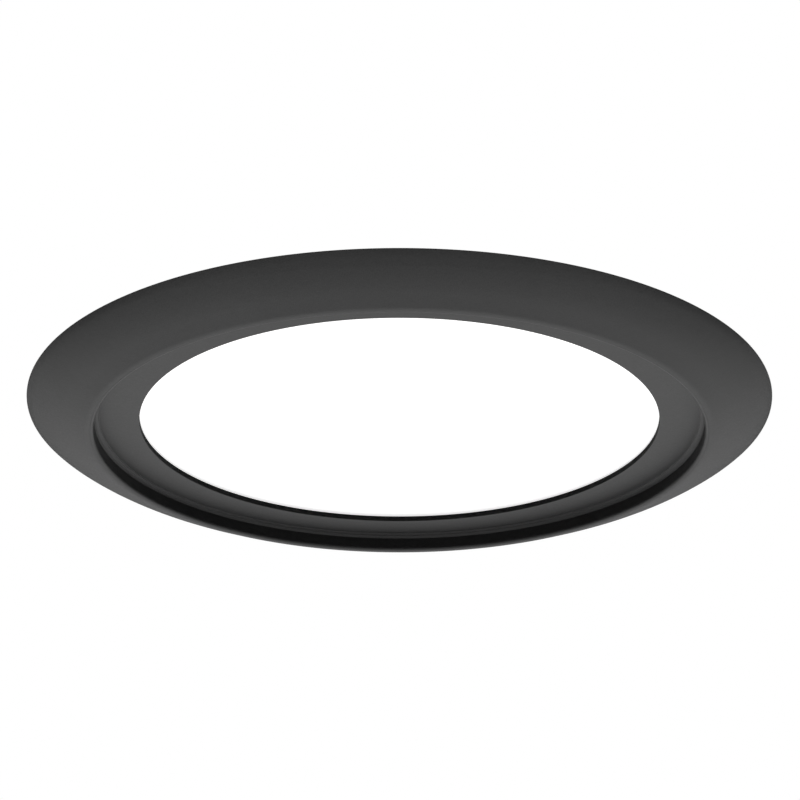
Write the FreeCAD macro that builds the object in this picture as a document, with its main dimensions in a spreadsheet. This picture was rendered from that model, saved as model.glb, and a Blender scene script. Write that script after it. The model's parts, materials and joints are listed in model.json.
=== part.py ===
# Slim soffit downlight with a removable trim ring, in millimetres.
#
# The origin is the centre of the soffit's face. +Z goes up into the soffit, so the trim hangs at negative Z
# and the housing, the driver box and the two spring clips stand at positive Z. The clips lie along X.
import FreeCAD, Part
import math
import operator
import os
from types import SimpleNamespace

import Sketcher

SIZES = [
    # the trim ring's front, from the rim inwards
    ("rim_radius", 95.0, "outside radius of the trim"),
    ("rim_land", 2.3, "width of the flat rim that touches the soffit"),
    ("roll_width", 2.1, "width of the rolled rim"),
    ("roll_depth", 1.8, "depth at which the rolled rim passes into the flange"),
    ("roll_curve", 16.0, "curve of the rolled rim"),
    ("flange_width", 8.8, "width of the flange's curved part"),
    ("shoulder_depth", 6.85, "depth at which that curve ends in a straight slope"),
    ("flange_curve", 47.0, "curve of the flange"),
    ("slope_angle", 24.0, "angle of the straight slope, in degrees"),
    ("crest_round", 1.5, "radius of the crest"),
    ("slope_width", 6.4, "width of the slope, from the curve to the wall inside the crest"),
    ("lip_width", 1.3, "width of the low step at the foot of the wall"),
    ("lip_rise", 0.25, "height of that step"),
    ("crease_depth", 4.5, "depth of the band at its outer edge"),
    ("band_fall", 0.47, "how much lower the band is at the opening"),
    ("band_width", 11.5, "width of the step and the band, from the wall to the opening"),
    ("trim_wall", 1.5, "wall of the trim ring"),
    # the trim ring's back
    ("trim_ribs", 12, "number of ribs that centre the trim"),
    ("trim_rib_thickness", 1.2, "thickness of a rib"),
    ("rib_bury", 0.9, "how deep a rib is sunk into the wall it stands on"),
    ("magnets", 4, "number of magnets"),
    ("magnet_inset", 4.7, "distance of the magnets' middles from the bezel's edge"),
    ("magnet_radius", 2.5, "radius of a magnet"),
    ("magnet_height", 1.4, "height of a magnet"),
    ("magnet_boss_wall", 0.9, "wall of the boss round a magnet"),
    ("magnet_play", 0.05, "play round a magnet and a striker plate"),
    # bezel, gasket and the optical stack
    ("seat_gap", 0.1, "gap between pieces that sit on each other"),
    ("edge_gap", 0.3, "gap round the edges of loose pieces"),
    ("bezel_reach", 3.4, "how far the bezel reaches out past the trim's straight slope"),
    ("bezel_thickness", 1.5, "thickness of the bezel's flange"),
    ("bezel_flange", 13.5, "width of the bezel's flange outside the cut-out"),
    ("spigot_wall", 3.4, "thickness of the wall that goes into the cut-out"),
    ("lens_ledge", 2.0, "width of the ledge that the lens's lip rests on"),
    ("striker_height", 0.8, "thickness of a striker plate"),
    ("striker_rim", 1.0, "how much wider a striker plate is than its magnet"),
    ("gasket_margin", 1.5, "distance of the soffit gasket from the bezel's edge and wall"),
    ("lens_seal_height", 0.4, "thickness of the seal under the lens"),
    ("lens_lip_height", 1.2, "thickness of the lens's lip"),
    ("lens_skin", 1.6, "thickness of the lens"),
    ("guide_gap", 0.4, "gap between the light guide's edge and the lamps"),
    ("guide_height", 3.0, "thickness of the light guide"),
    ("strip_thickness", 0.3, "thickness of the flexible lamp strip"),
    ("strip_height", 2.6, "width of the flexible lamp strip"),
    ("led_count", 48, "number of lamps on the strip"),
    ("led_width", 2.8, "width of a lamp"),
    ("led_depth", 0.8, "how far a lamp stands off the strip"),
    ("led_height", 1.4, "height of a lamp"),
    ("sheet_height", 0.4, "thickness of the reflector sheet"),
    ("foam_height", 2.0, "thickness of the foam ring"),
    ("foam_gap", 1.0, "distance from the foam ring to a clip's bracket"),
    ("foam_width", 12.0, "width of the foam ring"),
    # rear cover
    ("cover_thickness", 1.0, "thickness of the rear cover"),
    ("cover_ribs", 12, "number of pressed ribs"),
    ("cover_rib_height", 0.8, "height of a pressed rib"),
    ("cover_rib_width", 2.0, "width of a pressed rib"),
    ("cover_rib_inset", 7.0, "distance of the pressed ribs from the outside of the bezel's wall"),
    ("cover_rib_length", 13.0, "length of a pressed rib"),
    ("lead_hole", 5.0, "radius of the hole for the lamp leads"),
    ("cover_screws", 8, "number of screws in the rear cover"),
    ("screw_radius", 1.0, "radius of a housing screw"),
    ("screw_length", 4.6, "length of a housing screw below its head"),
    ("screw_head_radius", 1.9, "radius of a screw's head"),
    ("screw_inset", 0.1, "distance of a cover screw's head from the outside of the bezel's wall"),
    ("screw_head_height", 1.5, "height of a screw's head"),
    ("screw_drive_radius", 0.9, "radius of the drive recess"),
    ("screw_drive_depth", 0.8, "depth of the drive recess"),
    ("screw_play", 0.1, "play round a screw or a rivet in its hole"),
    ("rivet_radius", 1.2, "radius of a rivet"),
    ("rivet_head_radius", 1.9, "radius of a rivet's head"),
    ("rivet_head_height", 0.8, "height of a rivet's head"),
    ("rivet_margin", 1.0, "distance of a rivet's head from the end of a bracket"),
    # driver box
    ("tray_end_gap", 9.0, "distance from the driver box to a clip's bracket"),
    ("tray_half_width", 26.0, "half the driver box along Y"),
    ("tray_corner", 6.0, "corner radius of the driver box"),
    ("tray_wall", 1.6, "wall of the driver box"),
    ("tray_height", 14.0, "height of the tray"),
    ("tray_rivet_end", 22.0, "distance of the tray's rivets from its ends"),
    ("tray_rivet_side", 6.0, "distance of the tray's rivets from its long sides"),
    ("lid_boss_radius", 3.0, "radius of the posts that take the lid's screws"),
    ("lid_boss_inset", 5.0, "distance of those posts from the outside of the tray"),
    ("lid_seal_height", 0.6, "thickness of the seal under the lid"),
    ("lid_thickness", 2.0, "thickness of the lid"),
    ("lid_edge_round", 1.0, "radius of the lid's upper edge"),
    ("standoff_radius", 2.5, "radius of the posts under the driver board"),
    ("standoff_height", 2.4, "height of those posts"),
    ("board_end_gap", 1.4, "distance from the driver board's ends to the box"),
    ("board_side_gap", 0.5, "distance from the board's sides to the lid's posts"),
    ("board_thickness", 1.6, "thickness of the driver board"),
    ("board_screw_end", 6.0, "distance of the board's screws from its ends"),
    ("board_screw_side", 4.0, "distance of the board's screws from its sides"),
    # driver parts on the board, whose places along X are shares of half the board's length
    ("core_half_length", 8.0, "half the transformer's core along X"),
    ("core_half_width", 5.0, "half the transformer's core along Y"),
    ("core_height", 7.0, "height of the transformer"),
    ("core_share", -0.205, "where the transformer is along X, as a share"),
    ("core_limb", 2.2, "thickness of the core's limbs"),
    ("winding_half_width", 7.5, "half the transformer's winding along Y"),
    ("can_radius", 3.5, "radius of the bulk capacitor"),
    ("can_length", 14.0, "length of the bulk capacitor"),
    ("can_share", 0.128, "where the bulk capacitor starts along X, as a share"),
    ("can_side", 8.5, "distance of the bulk capacitor's middle from the board's near side"),
    ("can_groove", 0.45, "depth of the crimped groove, and half its width"),
    ("film_half_length", 5.5, "half the film capacitor along X"),
    ("film_half_width", 2.5, "half the film capacitor along Y"),
    ("film_height", 7.0, "height of the film capacitor"),
    ("film_corner", 0.6, "corner radius of the film capacitor"),
    ("film_share", 0.308, "where the film capacitor is along X, as a share"),
    ("film_side", 14.5, "distance of the film capacitor's middle from the board's far side"),
    ("choke_radius", 4.2, "radius of the choke's flanges"),
    ("choke_height", 6.4, "height of the choke"),
    ("choke_waist", 3.4, "radius of the choke's winding"),
    ("choke_flange", 0.9, "thickness of the choke's flanges"),
    ("choke_share", -0.667, "where the choke is along X, as a share"),
    ("choke_side", 10.5, "distance of the choke's middle from the board's far side"),
    ("terminal_half_length", 7.6, "half the terminal block along X"),
    ("terminal_depth", 8.0, "depth of the terminal block along Y"),
    ("terminal_height", 7.4, "height of the terminal block"),
    ("terminal_pitch", 5.0, "distance between its wire holes"),
    ("terminal_hole", 1.4, "radius of a wire hole"),
    ("terminal_hole_depth", 6.0, "depth of a wire hole"),
    # cable gland in the box's far side
    ("gland_inset", 17.0, "distance of the gland's axis from the board's end"),
    ("gland_bore", 3.3, "radius of the hole for the cable"),
    ("gland_thread", 4.9, "radius of the gland's thread"),
    ("gland_hex_rim", 0.6, "how much wider the gland's hexagon is than its locknut, each way"),
    ("gland_hex_height", 4.0, "length of the gland's hexagon"),
    ("gland_collar", 4.0, "length of the gland's outer thread"),
    ("gland_cap_radius", 6.3, "radius of the gland's cap"),
    ("gland_cap_length", 8.0, "length of the gland's cap"),
    ("gland_cap_mouth", 4.0, "radius of the cap's mouth"),
    ("gland_locknut_gap", 0.3, "gap between the locknut's flats and the box's floor and lid seal"),
    ("gland_locknut_height", 2.4, "thickness of the locknut"),
    ("gland_insert_radius", 4.2, "radius of the rubber insert"),
    # colour selector
    ("switch_share", -0.615, "where the selector is along X, as a share of half the board's length"),
    ("switch_side", 8.5, "distance of the selector's middle from the board's near side"),
    ("switch_half_length", 5.5, "half the selector along X"),
    ("switch_half_width", 3.0, "half the selector along Y"),
    ("switch_height", 7.0, "height of the selector"),
    ("knob_travel", 2.8, "travel of the knob each way"),
    ("knob_stem", 0.9, "half the width of the knob's stem"),
    ("knob_stem_depth", 1.6, "how deep the stem goes into the selector"),
    ("knob_half", 2.0, "half the width of the knob"),
    ("knob_height", 0.8, "height of the knob"),
    ("knob_corner", 0.5, "corner radius of the knob"),
    ("knob_play", 0.3, "play round the knob's stem"),
    ("well_depth", 1.0, "depth of the hollow in the lid"),
    ("well_end_gap", 2.2, "distance from the knob to the hollow's ends"),
    ("well_side_gap", 1.6, "distance from the knob to the hollow's sides"),
    # earth stud
    ("earth_end", 20.0, "distance of the earth stud from the driver box's end along X"),
    ("earth_gap", 12.0, "distance of the earth stud from the driver box"),
    ("earth_radius", 2.0, "radius of the earth stud"),
    ("earth_length", 8.0, "length of the earth stud"),
    ("earth_nut_flat", 3.5, "half the earth nut's width over its flats"),
    ("earth_nut_height", 3.0, "height of the earth nut"),
    ("earth_washer_radius", 4.4, "radius of the earth washer"),
    ("earth_washer_height", 0.8, "thickness of the earth washer"),
    # spring clips
    ("clip_sheet", 1.0, "thickness of a clip's bracket"),
    ("clip_inset", 5.0, "distance of a bracket from the outside of the bezel's wall"),
    ("clip_length", 18.0, "length of a bracket"),
    ("clip_pivot_inset", 8.0, "distance of a clip's pin from the bracket's outer end"),
    ("clip_pivot_rise", 4.4, "height of the pin above the bracket's floor"),
    ("ear_inner", 8.0, "distance of a bracket's ears from the middle"),
    ("ear_radius", 3.4, "radius of the ears round the pin"),
    ("ear_foot", 5.0, "half the length of an ear at its foot"),
    ("pin_radius", 1.5, "radius of a clip's pin"),
    ("pin_play", 0.06, "play of the pin in its holes"),
    ("pin_head_radius", 2.5, "radius of the pin's head"),
    ("pin_head_height", 0.9, "height of the pin's head"),
    ("coil_radius", 2.25, "radius of the spring's turns"),
    ("coil_pitch", 1.45, "distance from turn to turn"),
    ("coil_turns", 4, "number of whole turns"),
    ("wire_radius", 0.45, "radius of the spring wire"),
    ("leg_angle", 38.0, "how far past the last whole turn the rear leg leaves, in degrees"),
    ("front_leg", 13.0, "length of the spring's leg on the arm"),
    ("arm_sheet", 0.8, "thickness of a clip's arm"),
    ("arm_start_gap", 4.2, "distance from the pin to the start of the arm's web"),
    ("arm_overhang", 5.0, "how far outside the bezel's wall the arm bends down"),
    ("arm_run", 9.5, "how far the bent part reaches along X"),
    ("arm_drop", 6.0, "how far the bent part comes down"),
    ("arm_tip_half", 5.0, "half the width of the arm's end"),
    ("arm_neck_length", 3.0, "length over which the arm narrows before the bend"),
    ("cheek_radius", 3.2, "radius of the arm's cheeks round the pin"),
    ("cheek_foot", 1.6, "how far the cheeks' stop lies below the pin"),
    ("stop_inset", 1.7, "where the cheeks' flat lies behind the bracket's end"),
    ("pad_wall", 0.9, "wall of the soft pad on the arm's end"),
    ("pad_length", 6.0, "length of the soft pad"),
    ("pad_nose", 1.2, "thickness of the pad's closed end"),
]

doc = FreeCAD.newDocument("soffit_downlight")
sheet = doc.addObject("Spreadsheet::Sheet", "sizes")
for row, (alias, number, meaning) in enumerate(SIZES, 1):
    sheet.set(f"A{row}", meaning)
    sheet.set(f"B{row}", str(number))
    sheet.setAlias(f"B{row}", alias)
doc.recompute()


class Size:
    """A length together with the sheet formula that it comes from."""

    def __init__(self, value, formula):
        self.value = value
        self.formula = formula

    def __add__(self, other):
        return combined(operator.add, "+", self, other)

    def __radd__(self, other):
        return combined(operator.add, "+", other, self)

    def __sub__(self, other):
        return combined(operator.sub, "-", self, other)

    def __rsub__(self, other):
        return combined(operator.sub, "-", other, self)

    def __mul__(self, other):
        return combined(operator.mul, "*", self, other)

    def __rmul__(self, other):
        return combined(operator.mul, "*", other, self)

    def __truediv__(self, other):
        return combined(operator.truediv, "/", self, other)

    def __rtruediv__(self, other):
        return combined(operator.truediv, "/", other, self)

    def __neg__(self):
        return combined(operator.sub, "-", 0, self)


def as_size(number):
    return number if isinstance(number, Size) else Size(float(number), repr(float(number)))


def combined(operation, sign, first, second):
    first, second = as_size(first), as_size(second)
    value = operation(first.value, second.value)
    return Size(value, f"({first.formula} {sign} {second.formula})")


def root(size):
    return Size(math.sqrt(size.value), f"sqrt({size.formula})")


def sine(degrees):
    return Size(math.sin(math.radians(degrees.value)), f"sin({degrees.formula} * 1 deg)")


def cosine(degrees):
    return Size(math.cos(math.radians(degrees.value)), f"cos({degrees.formula} * 1 deg)")


s = SimpleNamespace(
    **{alias: Size(float(sheet.get(alias)), f"sizes.{alias}") for alias, _, _ in SIZES}
)

# radii that follow one another from the rim inwards
roll_radius = s.rim_radius - s.roll_width
shoulder_radius = roll_radius - s.flange_width
groove_radius = shoulder_radius - s.slope_width
aperture_radius = groove_radius - s.band_width
bezel_radius = shoulder_radius + s.bezel_reach
magnet_circle = bezel_radius - s.magnet_inset
spigot_radius = bezel_radius - s.bezel_flange
spigot_inner = spigot_radius - s.spigot_wall
screw_circle = spigot_radius - s.screw_inset - s.screw_head_radius
bezel_opening = spigot_inner - s.lens_ledge
strip_radius = spigot_inner - s.seat_gap
guide_radius = strip_radius - s.strip_thickness - s.led_depth - s.guide_gap
# places along X and Y of the clips, the driver box and what is in it
clip_end = spigot_radius - s.clip_inset
clip_start = clip_end - s.clip_length
clip_pivot = clip_end - s.clip_pivot_inset
arm_start = clip_pivot + s.arm_start_gap
arm_bend = spigot_radius + s.arm_overhang
arm_neck = arm_bend - s.arm_neck_length
tray_half_length = clip_start - s.tray_end_gap
board_half_length = tray_half_length - s.tray_wall - s.board_end_gap
board_half_width = (
    s.tray_half_width - s.lid_boss_inset - s.lid_boss_radius - s.board_side_gap
)
board_screw_x = board_half_length - s.board_screw_end
board_screw_y = board_half_width - s.board_screw_side
gland_place = board_half_length - s.gland_inset
core_place = board_half_length * s.core_share
can_place_x = board_half_length * s.can_share
film_place_x = board_half_length * s.film_share
choke_place_x = board_half_length * s.choke_share
switch_place_x = board_half_length * s.switch_share
can_place_y = s.can_side - board_half_width
film_place_y = board_half_width - s.film_side
choke_place_y = board_half_width - s.choke_side
switch_place_y = s.switch_side - board_half_width
earth_place_x = s.earth_end - tray_half_length
earth_place_y = s.tray_half_width + s.earth_gap
gland_locknut_flat = (s.tray_height - s.tray_wall) / 2 - s.gland_locknut_gap
gland_hex = gland_locknut_flat + s.gland_hex_rim
tray_rivet_x = tray_half_length - s.tray_rivet_end
tray_rivet_y = s.tray_half_width - s.tray_rivet_side
foam_radius = clip_start - s.foam_gap
# heights that several pieces share, from the trim up
slope_fall = sine(s.slope_angle) / cosine(s.slope_angle)
band_back = s.trim_wall - s.crease_depth
bezel_face = band_back + s.seat_gap
bezel_back = bezel_face + s.bezel_thickness
lens_seat = bezel_back + s.lens_seal_height
guide_bottom = lens_seat + s.lens_lip_height
guide_top = guide_bottom + s.guide_height
sheet_top = guide_top + s.sheet_height
spigot_top = sheet_top + s.foam_height
cover_top = spigot_top + s.cover_thickness
tray_floor = cover_top + s.tray_wall
tray_top = cover_top + s.tray_height
lid_bottom = tray_top + s.lid_seal_height
lid_top = lid_bottom + s.lid_thickness
board_bottom = tray_floor + s.standoff_height
board_top = board_bottom + s.board_thickness
gland_height = (tray_floor + tray_top) / 2
bracket_top = cover_top + s.clip_sheet
pivot_height = bracket_top + s.clip_pivot_rise
arm_top = pivot_height + s.coil_radius - s.wire_radius - s.seat_gap

SUB_PARTS = []
# a half circle is drawn this much wider than its ends are apart, so that its centre is certain
HALF_CIRCLE = 1.0001
TURN_TO_Y = FreeCAD.Rotation(FreeCAD.Vector(1, 0, 0), -90)
TURN_TO_X = FreeCAD.Rotation(FreeCAD.Vector(0, 1, 0), 90)
HALF_TURN = FreeCAD.Rotation(FreeCAD.Vector(0, 0, 1), 180)


def bind(feature, name, size):
    """Ties one value of a feature to the sheet."""
    feature.setExpression(name, as_size(size).formula)


def new_body(label):
    body = doc.addObject("PartDesign::Body", label)
    body.Label = label
    body.AllowCompound = True
    SUB_PARTS.append(body)
    return body


def place(body, x=0, y=0, z=0, turn=None):
    """Puts a finished body at a bound place, turned from its own axes."""
    if turn:
        body.Placement = FreeCAD.Placement(FreeCAD.Vector(), turn)
    for axis, size in zip("xyz", (x, y, z)):
        bind(body, f"Placement.Base.{axis}", size)


def origin_feature(body, role):
    return next(part for part in body.Origin.OriginFeatures if part.Role == role)


def new_sketch(body, role, name, offset=0):
    """A sketch on one of the body's own planes, moved along that plane's normal by offset."""
    sketch = body.newObject("Sketcher::SketchObject", f"{body.Label}_{name}")
    sketch.AttachmentSupport = [(origin_feature(body, role), "")]
    sketch.MapMode = "FlatFace"
    if isinstance(offset, Size):
        bind(sketch, "AttachmentOffset.Base.z", offset)
    return sketch


def fix_point(sketch, element, end, x, y):
    """Fixes one end (1, 2) or centre (3) of an element at a bound place."""
    for kind, size in (("DistanceX", x), ("DistanceY", y)):
        size = as_size(size)
        number = sketch.addConstraint(Sketcher.Constraint(kind, -1, 1, element, end, size.value))
        sketch.setExpression(f"Constraints[{number}]", size.formula)


def curve_to(x, y, radius):
    """A corner reached on an arc. A positive radius curves to the left and a negative one to the right."""
    return (x, y, radius)


def arc_between(start, end, radius):
    """The circle's arc from start to end, as an arc that runs anticlockwise."""
    chord = end - start
    side = 1 if radius > 0 else -1
    across = FreeCAD.Vector(-chord.y, chord.x, 0).normalize()
    rise = math.sqrt(max(radius * radius - chord.Length**2 / 4, 0))
    centre = (start + end) * 0.5 + across * rise * side
    first, last = (start, end) if side > 0 else (end, start)
    angles = [math.atan2(p.y - centre.y, p.x - centre.x) for p in (first, last)]
    circle = Part.Circle(centre, FreeCAD.Vector(0, 0, 1), abs(radius))
    return Part.ArcOfCircle(circle, angles[0], angles[1])


def outline(sketch, corners):
    """A closed outline. Each corner is (x, y), or a curve_to, whose arc comes from the corner before it."""
    points = [FreeCAD.Vector(as_size(c[0]).value, as_size(c[1]).value, 0) for c in corners]
    ends = []
    for number, corner in enumerate(corners):
        start, end = points[number - 1], points[number]
        if len(corner) == 3:
            radius = as_size(corner[2])
            element = sketch.addGeometry(arc_between(start, end, radius.value))
            bound = radius if radius.value > 0 else -radius
            constraint = Sketcher.Constraint("Radius", element, bound.value)
            radius_number = sketch.addConstraint(constraint)
            sketch.setExpression(f"Constraints[{radius_number}]", bound.formula)
            ends.append((element, 1, 2) if radius.value > 0 else (element, 2, 1))
        else:
            element = sketch.addGeometry(Part.LineSegment(start, end))
            ends.append((element, 1, 2))
    for number, (element, _, last) in enumerate(ends):
        following = ends[(number + 1) % len(ends)]
        sketch.addConstraint(
            Sketcher.Constraint("Coincident", element, last, following[0], following[1])
        )
        fix_point(sketch, element, last, *corners[number][:2])


def rectangle(sketch, left, bottom, right, top):
    outline(sketch, [(left, bottom), (right, bottom), (right, top), (left, top)])


def rounded_rectangle(sketch, half_x, half_y, corner, x=0, y=0):
    left, right, bottom, top = x - half_x, x + half_x, y - half_y, y + half_y
    outline(
        sketch,
        [
            curve_to(left + corner, bottom, corner),
            (right - corner, bottom),
            curve_to(right, bottom + corner, corner),
            (right, top - corner),
            curve_to(right - corner, top, corner),
            (left + corner, top),
            curve_to(left, top - corner, corner),
            (left, bottom + corner),
        ],
    )


def hexagon(sketch, half_flat, x=0, y=0):
    """A hexagon with two flats across the sketch's y axis."""
    point = half_flat * (2 / math.sqrt(3))
    outline(
        sketch,
        [
            (x + point, y),
            (x + point / 2, y + half_flat),
            (x - point / 2, y + half_flat),
            (x - point, y),
            (x - point / 2, y - half_flat),
            (x + point / 2, y - half_flat),
        ],
    )


def round_hole(sketch, radius, x=0, y=0):
    x, y, radius = as_size(x), as_size(y), as_size(radius)
    middle = FreeCAD.Vector(x.value, y.value, 0)
    circle = Part.Circle(middle, FreeCAD.Vector(0, 0, 1), radius.value)
    element = sketch.addGeometry(circle)
    fix_point(sketch, element, 3, x, y)
    number = sketch.addConstraint(Sketcher.Constraint("Radius", element, radius.value))
    sketch.setExpression(f"Constraints[{number}]", radius.formula)


def extruded(body, kind, sketch, length, symmetric=False, backwards=False):
    feature = body.newObject(f"PartDesign::{kind}", sketch.Name + "_" + kind.lower())
    feature.Profile = sketch
    bind(feature, "Length", length)
    feature.SideType = "Symmetric" if symmetric else "One side"
    feature.Reversed = backwards
    body.Tip = feature
    doc.recompute()
    return feature


def pad(body, sketch, length, symmetric=False, backwards=False):
    return extruded(body, "Pad", sketch, length, symmetric, backwards)


def pocket(body, sketch, length, symmetric=False, backwards=False):
    """Cuts, and makes sure that something was cut."""
    before = body.Shape.Volume
    feature = extruded(body, "Pocket", sketch, length, symmetric, backwards)
    if body.Shape.Volume > before - 1e-6:
        raise RuntimeError(f"{feature.Name} cuts nothing")
    return feature


def turned(body, sketch, kind="Revolution"):
    """Turns an outline about the sketch's upright axis: a Revolution adds and a Groove cuts."""
    feature = body.newObject(f"PartDesign::{kind}", sketch.Name + "_turned")
    feature.Profile = sketch
    feature.ReferenceAxis = (sketch, ["V_Axis"])
    feature.Angle = 360
    body.Tip = feature
    doc.recompute()
    return feature


def patterned(body, features, count):
    """Repeats features round the body's Z axis."""
    pattern = body.newObject("PartDesign::PolarPattern", features[0].Name + "_pattern")
    pattern.Originals = features
    pattern.Axis = (origin_feature(body, "Z_Axis"), [""])
    pattern.Angle = 360
    bind(pattern, "Occurrences", count)
    body.Tip = pattern
    doc.recompute()
    return pattern


def rounded(body, feature, edges, radius):
    fillet = body.newObject("PartDesign::Fillet", feature.Name + "_round")
    fillet.Base = (feature, edges)
    bind(fillet, "Radius", radius)
    body.Tip = fillet
    doc.recompute()
    return fillet


def ring_edges(feature, radius, height):
    """The names of the circular edges of this radius at this height."""
    names = []
    for number, edge in enumerate(feature.Shape.Edges, 1):
        curve = edge.Curve
        if not isinstance(curve, Part.Circle):
            continue
        if abs(curve.Radius - radius.value) < 0.01 and abs(curve.Center.z - height.value) < 0.01:
            names.append(f"Edge{number}")
    return names


def edges_at_height(feature, height):
    """The names of the edges that lie wholly at this height."""
    names = []
    for number, edge in enumerate(feature.Shape.Edges, 1):
        box = edge.BoundBox
        if abs(box.ZMin - height.value) < 0.001 and abs(box.ZMax - height.value) < 0.001:
            names.append(f"Edge{number}")
    return names


def turned_body(label, corners):
    """A body turned about Z from one outline of radii and heights."""
    body = new_body(label)
    sketch = new_sketch(body, "XZ_Plane", "profile")
    outline(sketch, corners)
    turned(body, sketch)
    return body


def disc(label, radius, bottom, top):
    return turned_body(label, [(0, bottom), (radius, bottom), (radius, top), (0, top)])


def ring(label, inner, outer, bottom, top):
    return turned_body(
        label, [(inner, bottom), (outer, bottom), (outer, top), (inner, top)]
    )


def corners_of(half_x, half_y):
    return [(half_x * i, half_y * j) for i in (-1, 1) for j in (-1, 1)]


def screws_at(label, places, seat, length):
    """Pan-head screws that stand on one seat, with a round drive recess each."""
    body = new_body(label)
    head = new_sketch(body, "XY_Plane", "head", seat)
    shank = new_sketch(body, "XY_Plane", "shank", seat)
    drive = new_sketch(body, "XY_Plane", "drive", seat + s.screw_head_height)
    for x, y in places:
        round_hole(head, s.screw_head_radius, x, y)
        round_hole(shank, s.screw_radius, x, y)
        round_hole(drive, s.screw_drive_radius, x, y)
    features = [
        pad(body, head, s.screw_head_height),
        pad(body, shank, length, backwards=True),
        pocket(body, drive, s.screw_drive_depth),
    ]
    return body, features


def rivets_at(label, places, seat, length):
    """Rivets with a head on each side of what they hold."""
    body = new_body(label)
    upper = new_sketch(body, "XY_Plane", "upper_head", seat)
    shank = new_sketch(body, "XY_Plane", "shank", seat)
    lower = new_sketch(body, "XY_Plane", "lower_head", seat - length)
    for x, y in places:
        round_hole(upper, s.rivet_head_radius, x, y)
        round_hole(shank, s.rivet_radius, x, y)
        round_hole(lower, s.rivet_head_radius, x, y)
    pad(body, upper, s.rivet_head_height)
    pad(body, shank, length, backwards=True)
    pad(body, lower, s.rivet_head_height, backwards=True)
    return body


# ---------------------------------------------------------------- trim


def trim_ring():
    """Die-cast ring: rolled rim, convex flange, rounded crest, wall and flat band round the opening."""
    slope_start = shoulder_radius - groove_radius
    corner_depth = s.shoulder_depth + slope_start * slope_fall
    wall_back = groove_radius + s.trim_wall
    rise = s.trim_wall / cosine(s.slope_angle)
    hollow_floor = s.shoulder_depth + (shoulder_radius - wall_back) * slope_fall - rise
    lip_depth = s.crease_depth - s.lip_rise
    crease_radius = groove_radius - s.lip_width
    edge_depth = s.crease_depth + s.band_fall
    hollow_shoulder = shoulder_radius - s.trim_wall * sine(s.slope_angle) / 2
    hollow_bend = s.shoulder_depth + (shoulder_radius - hollow_shoulder) * slope_fall - rise
    body = new_body("trim_ring")

    locating_radius = bezel_radius + s.edge_gap
    rib_top = bezel_face - s.seat_gap
    rib = new_sketch(body, "XZ_Plane", "rib")
    outline(
        rib,
        [
            (wall_back - s.rib_bury, rib_top),
            (wall_back - s.rib_bury, -corner_depth),
            (s.rim_radius - s.rim_land, -corner_depth),
            (s.rim_radius - s.rim_land, -s.edge_gap),
            (locating_radius, -s.edge_gap),
            (locating_radius, rib_top),
        ],
    )
    patterned(body, [pad(body, rib, s.trim_rib_thickness, symmetric=True)], s.trim_ribs)
    # the first rib lies on the X axis and the first magnet half a step from it
    magnet_angle = 180 / s.trim_ribs
    magnet_x = magnet_circle * cosine(magnet_angle)
    magnet_y = magnet_circle * sine(magnet_angle)
    boss = new_sketch(body, "XY_Plane", "magnet_boss", rib_top)
    round_hole(boss, s.magnet_radius + s.magnet_boss_wall, magnet_x, magnet_y)
    bosses = pad(body, boss, corner_depth + rib_top, backwards=True)
    patterned(body, [bosses], s.magnets)
    # the ribs and bosses end inside the ring's wall, so that nothing of them shows on its front
    middle = s.trim_wall / 2
    below = new_sketch(body, "XZ_Plane", "below_the_wall")
    outline(
        below,
        [
            (groove_radius, -hollow_floor - middle),
            (groove_radius, -corner_depth - middle),
            (roll_radius, -corner_depth - middle),
            (roll_radius, middle - s.roll_depth),
            (shoulder_radius, middle - s.shoulder_depth),
        ],
    )
    turned(body, below, "Groove")

    profile = new_sketch(body, "XZ_Plane", "profile")
    outline(
        profile,
        [
            curve_to(s.rim_radius, 0, s.roll_curve),
            (s.rim_radius - s.rim_land, 0),
            curve_to(hollow_shoulder, -hollow_bend, s.trim_wall - s.flange_curve),
            (wall_back, -hollow_floor),
            (wall_back, band_back),
            (crease_radius, band_back),
            (aperture_radius, s.trim_wall - edge_depth),
            (aperture_radius, -edge_depth),
            (crease_radius, -s.crease_depth),
            (groove_radius, -lip_depth),
            (groove_radius, -corner_depth),
            (shoulder_radius, -s.shoulder_depth),
            curve_to(roll_radius, -s.roll_depth, s.flange_curve),
        ],
    )
    shell = turned(body, profile)
    crest = ring_edges(shell, groove_radius, -corner_depth)
    rounded(body, shell, crest, s.crest_round)

    seat = new_sketch(body, "XY_Plane", "magnet_seat", rib_top)
    round_hole(seat, s.magnet_radius + s.magnet_play, magnet_x, magnet_y)
    patterned(body, [pocket(body, seat, s.magnet_height - s.seat_gap)], s.magnets)
    return magnet_x, magnet_y


def trim_magnets(x, y):
    """Round magnets that fill their seats and stand up to the bezel's face."""
    body = new_body("trim_magnets")
    magnet = new_sketch(body, "XY_Plane", "magnet", bezel_face)
    round_hole(magnet, s.magnet_radius, x, y)
    patterned(body, [pad(body, magnet, s.magnet_height, backwards=True)], s.magnets)


# ---------------------------------------------------------------- bezel and optical stack


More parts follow.
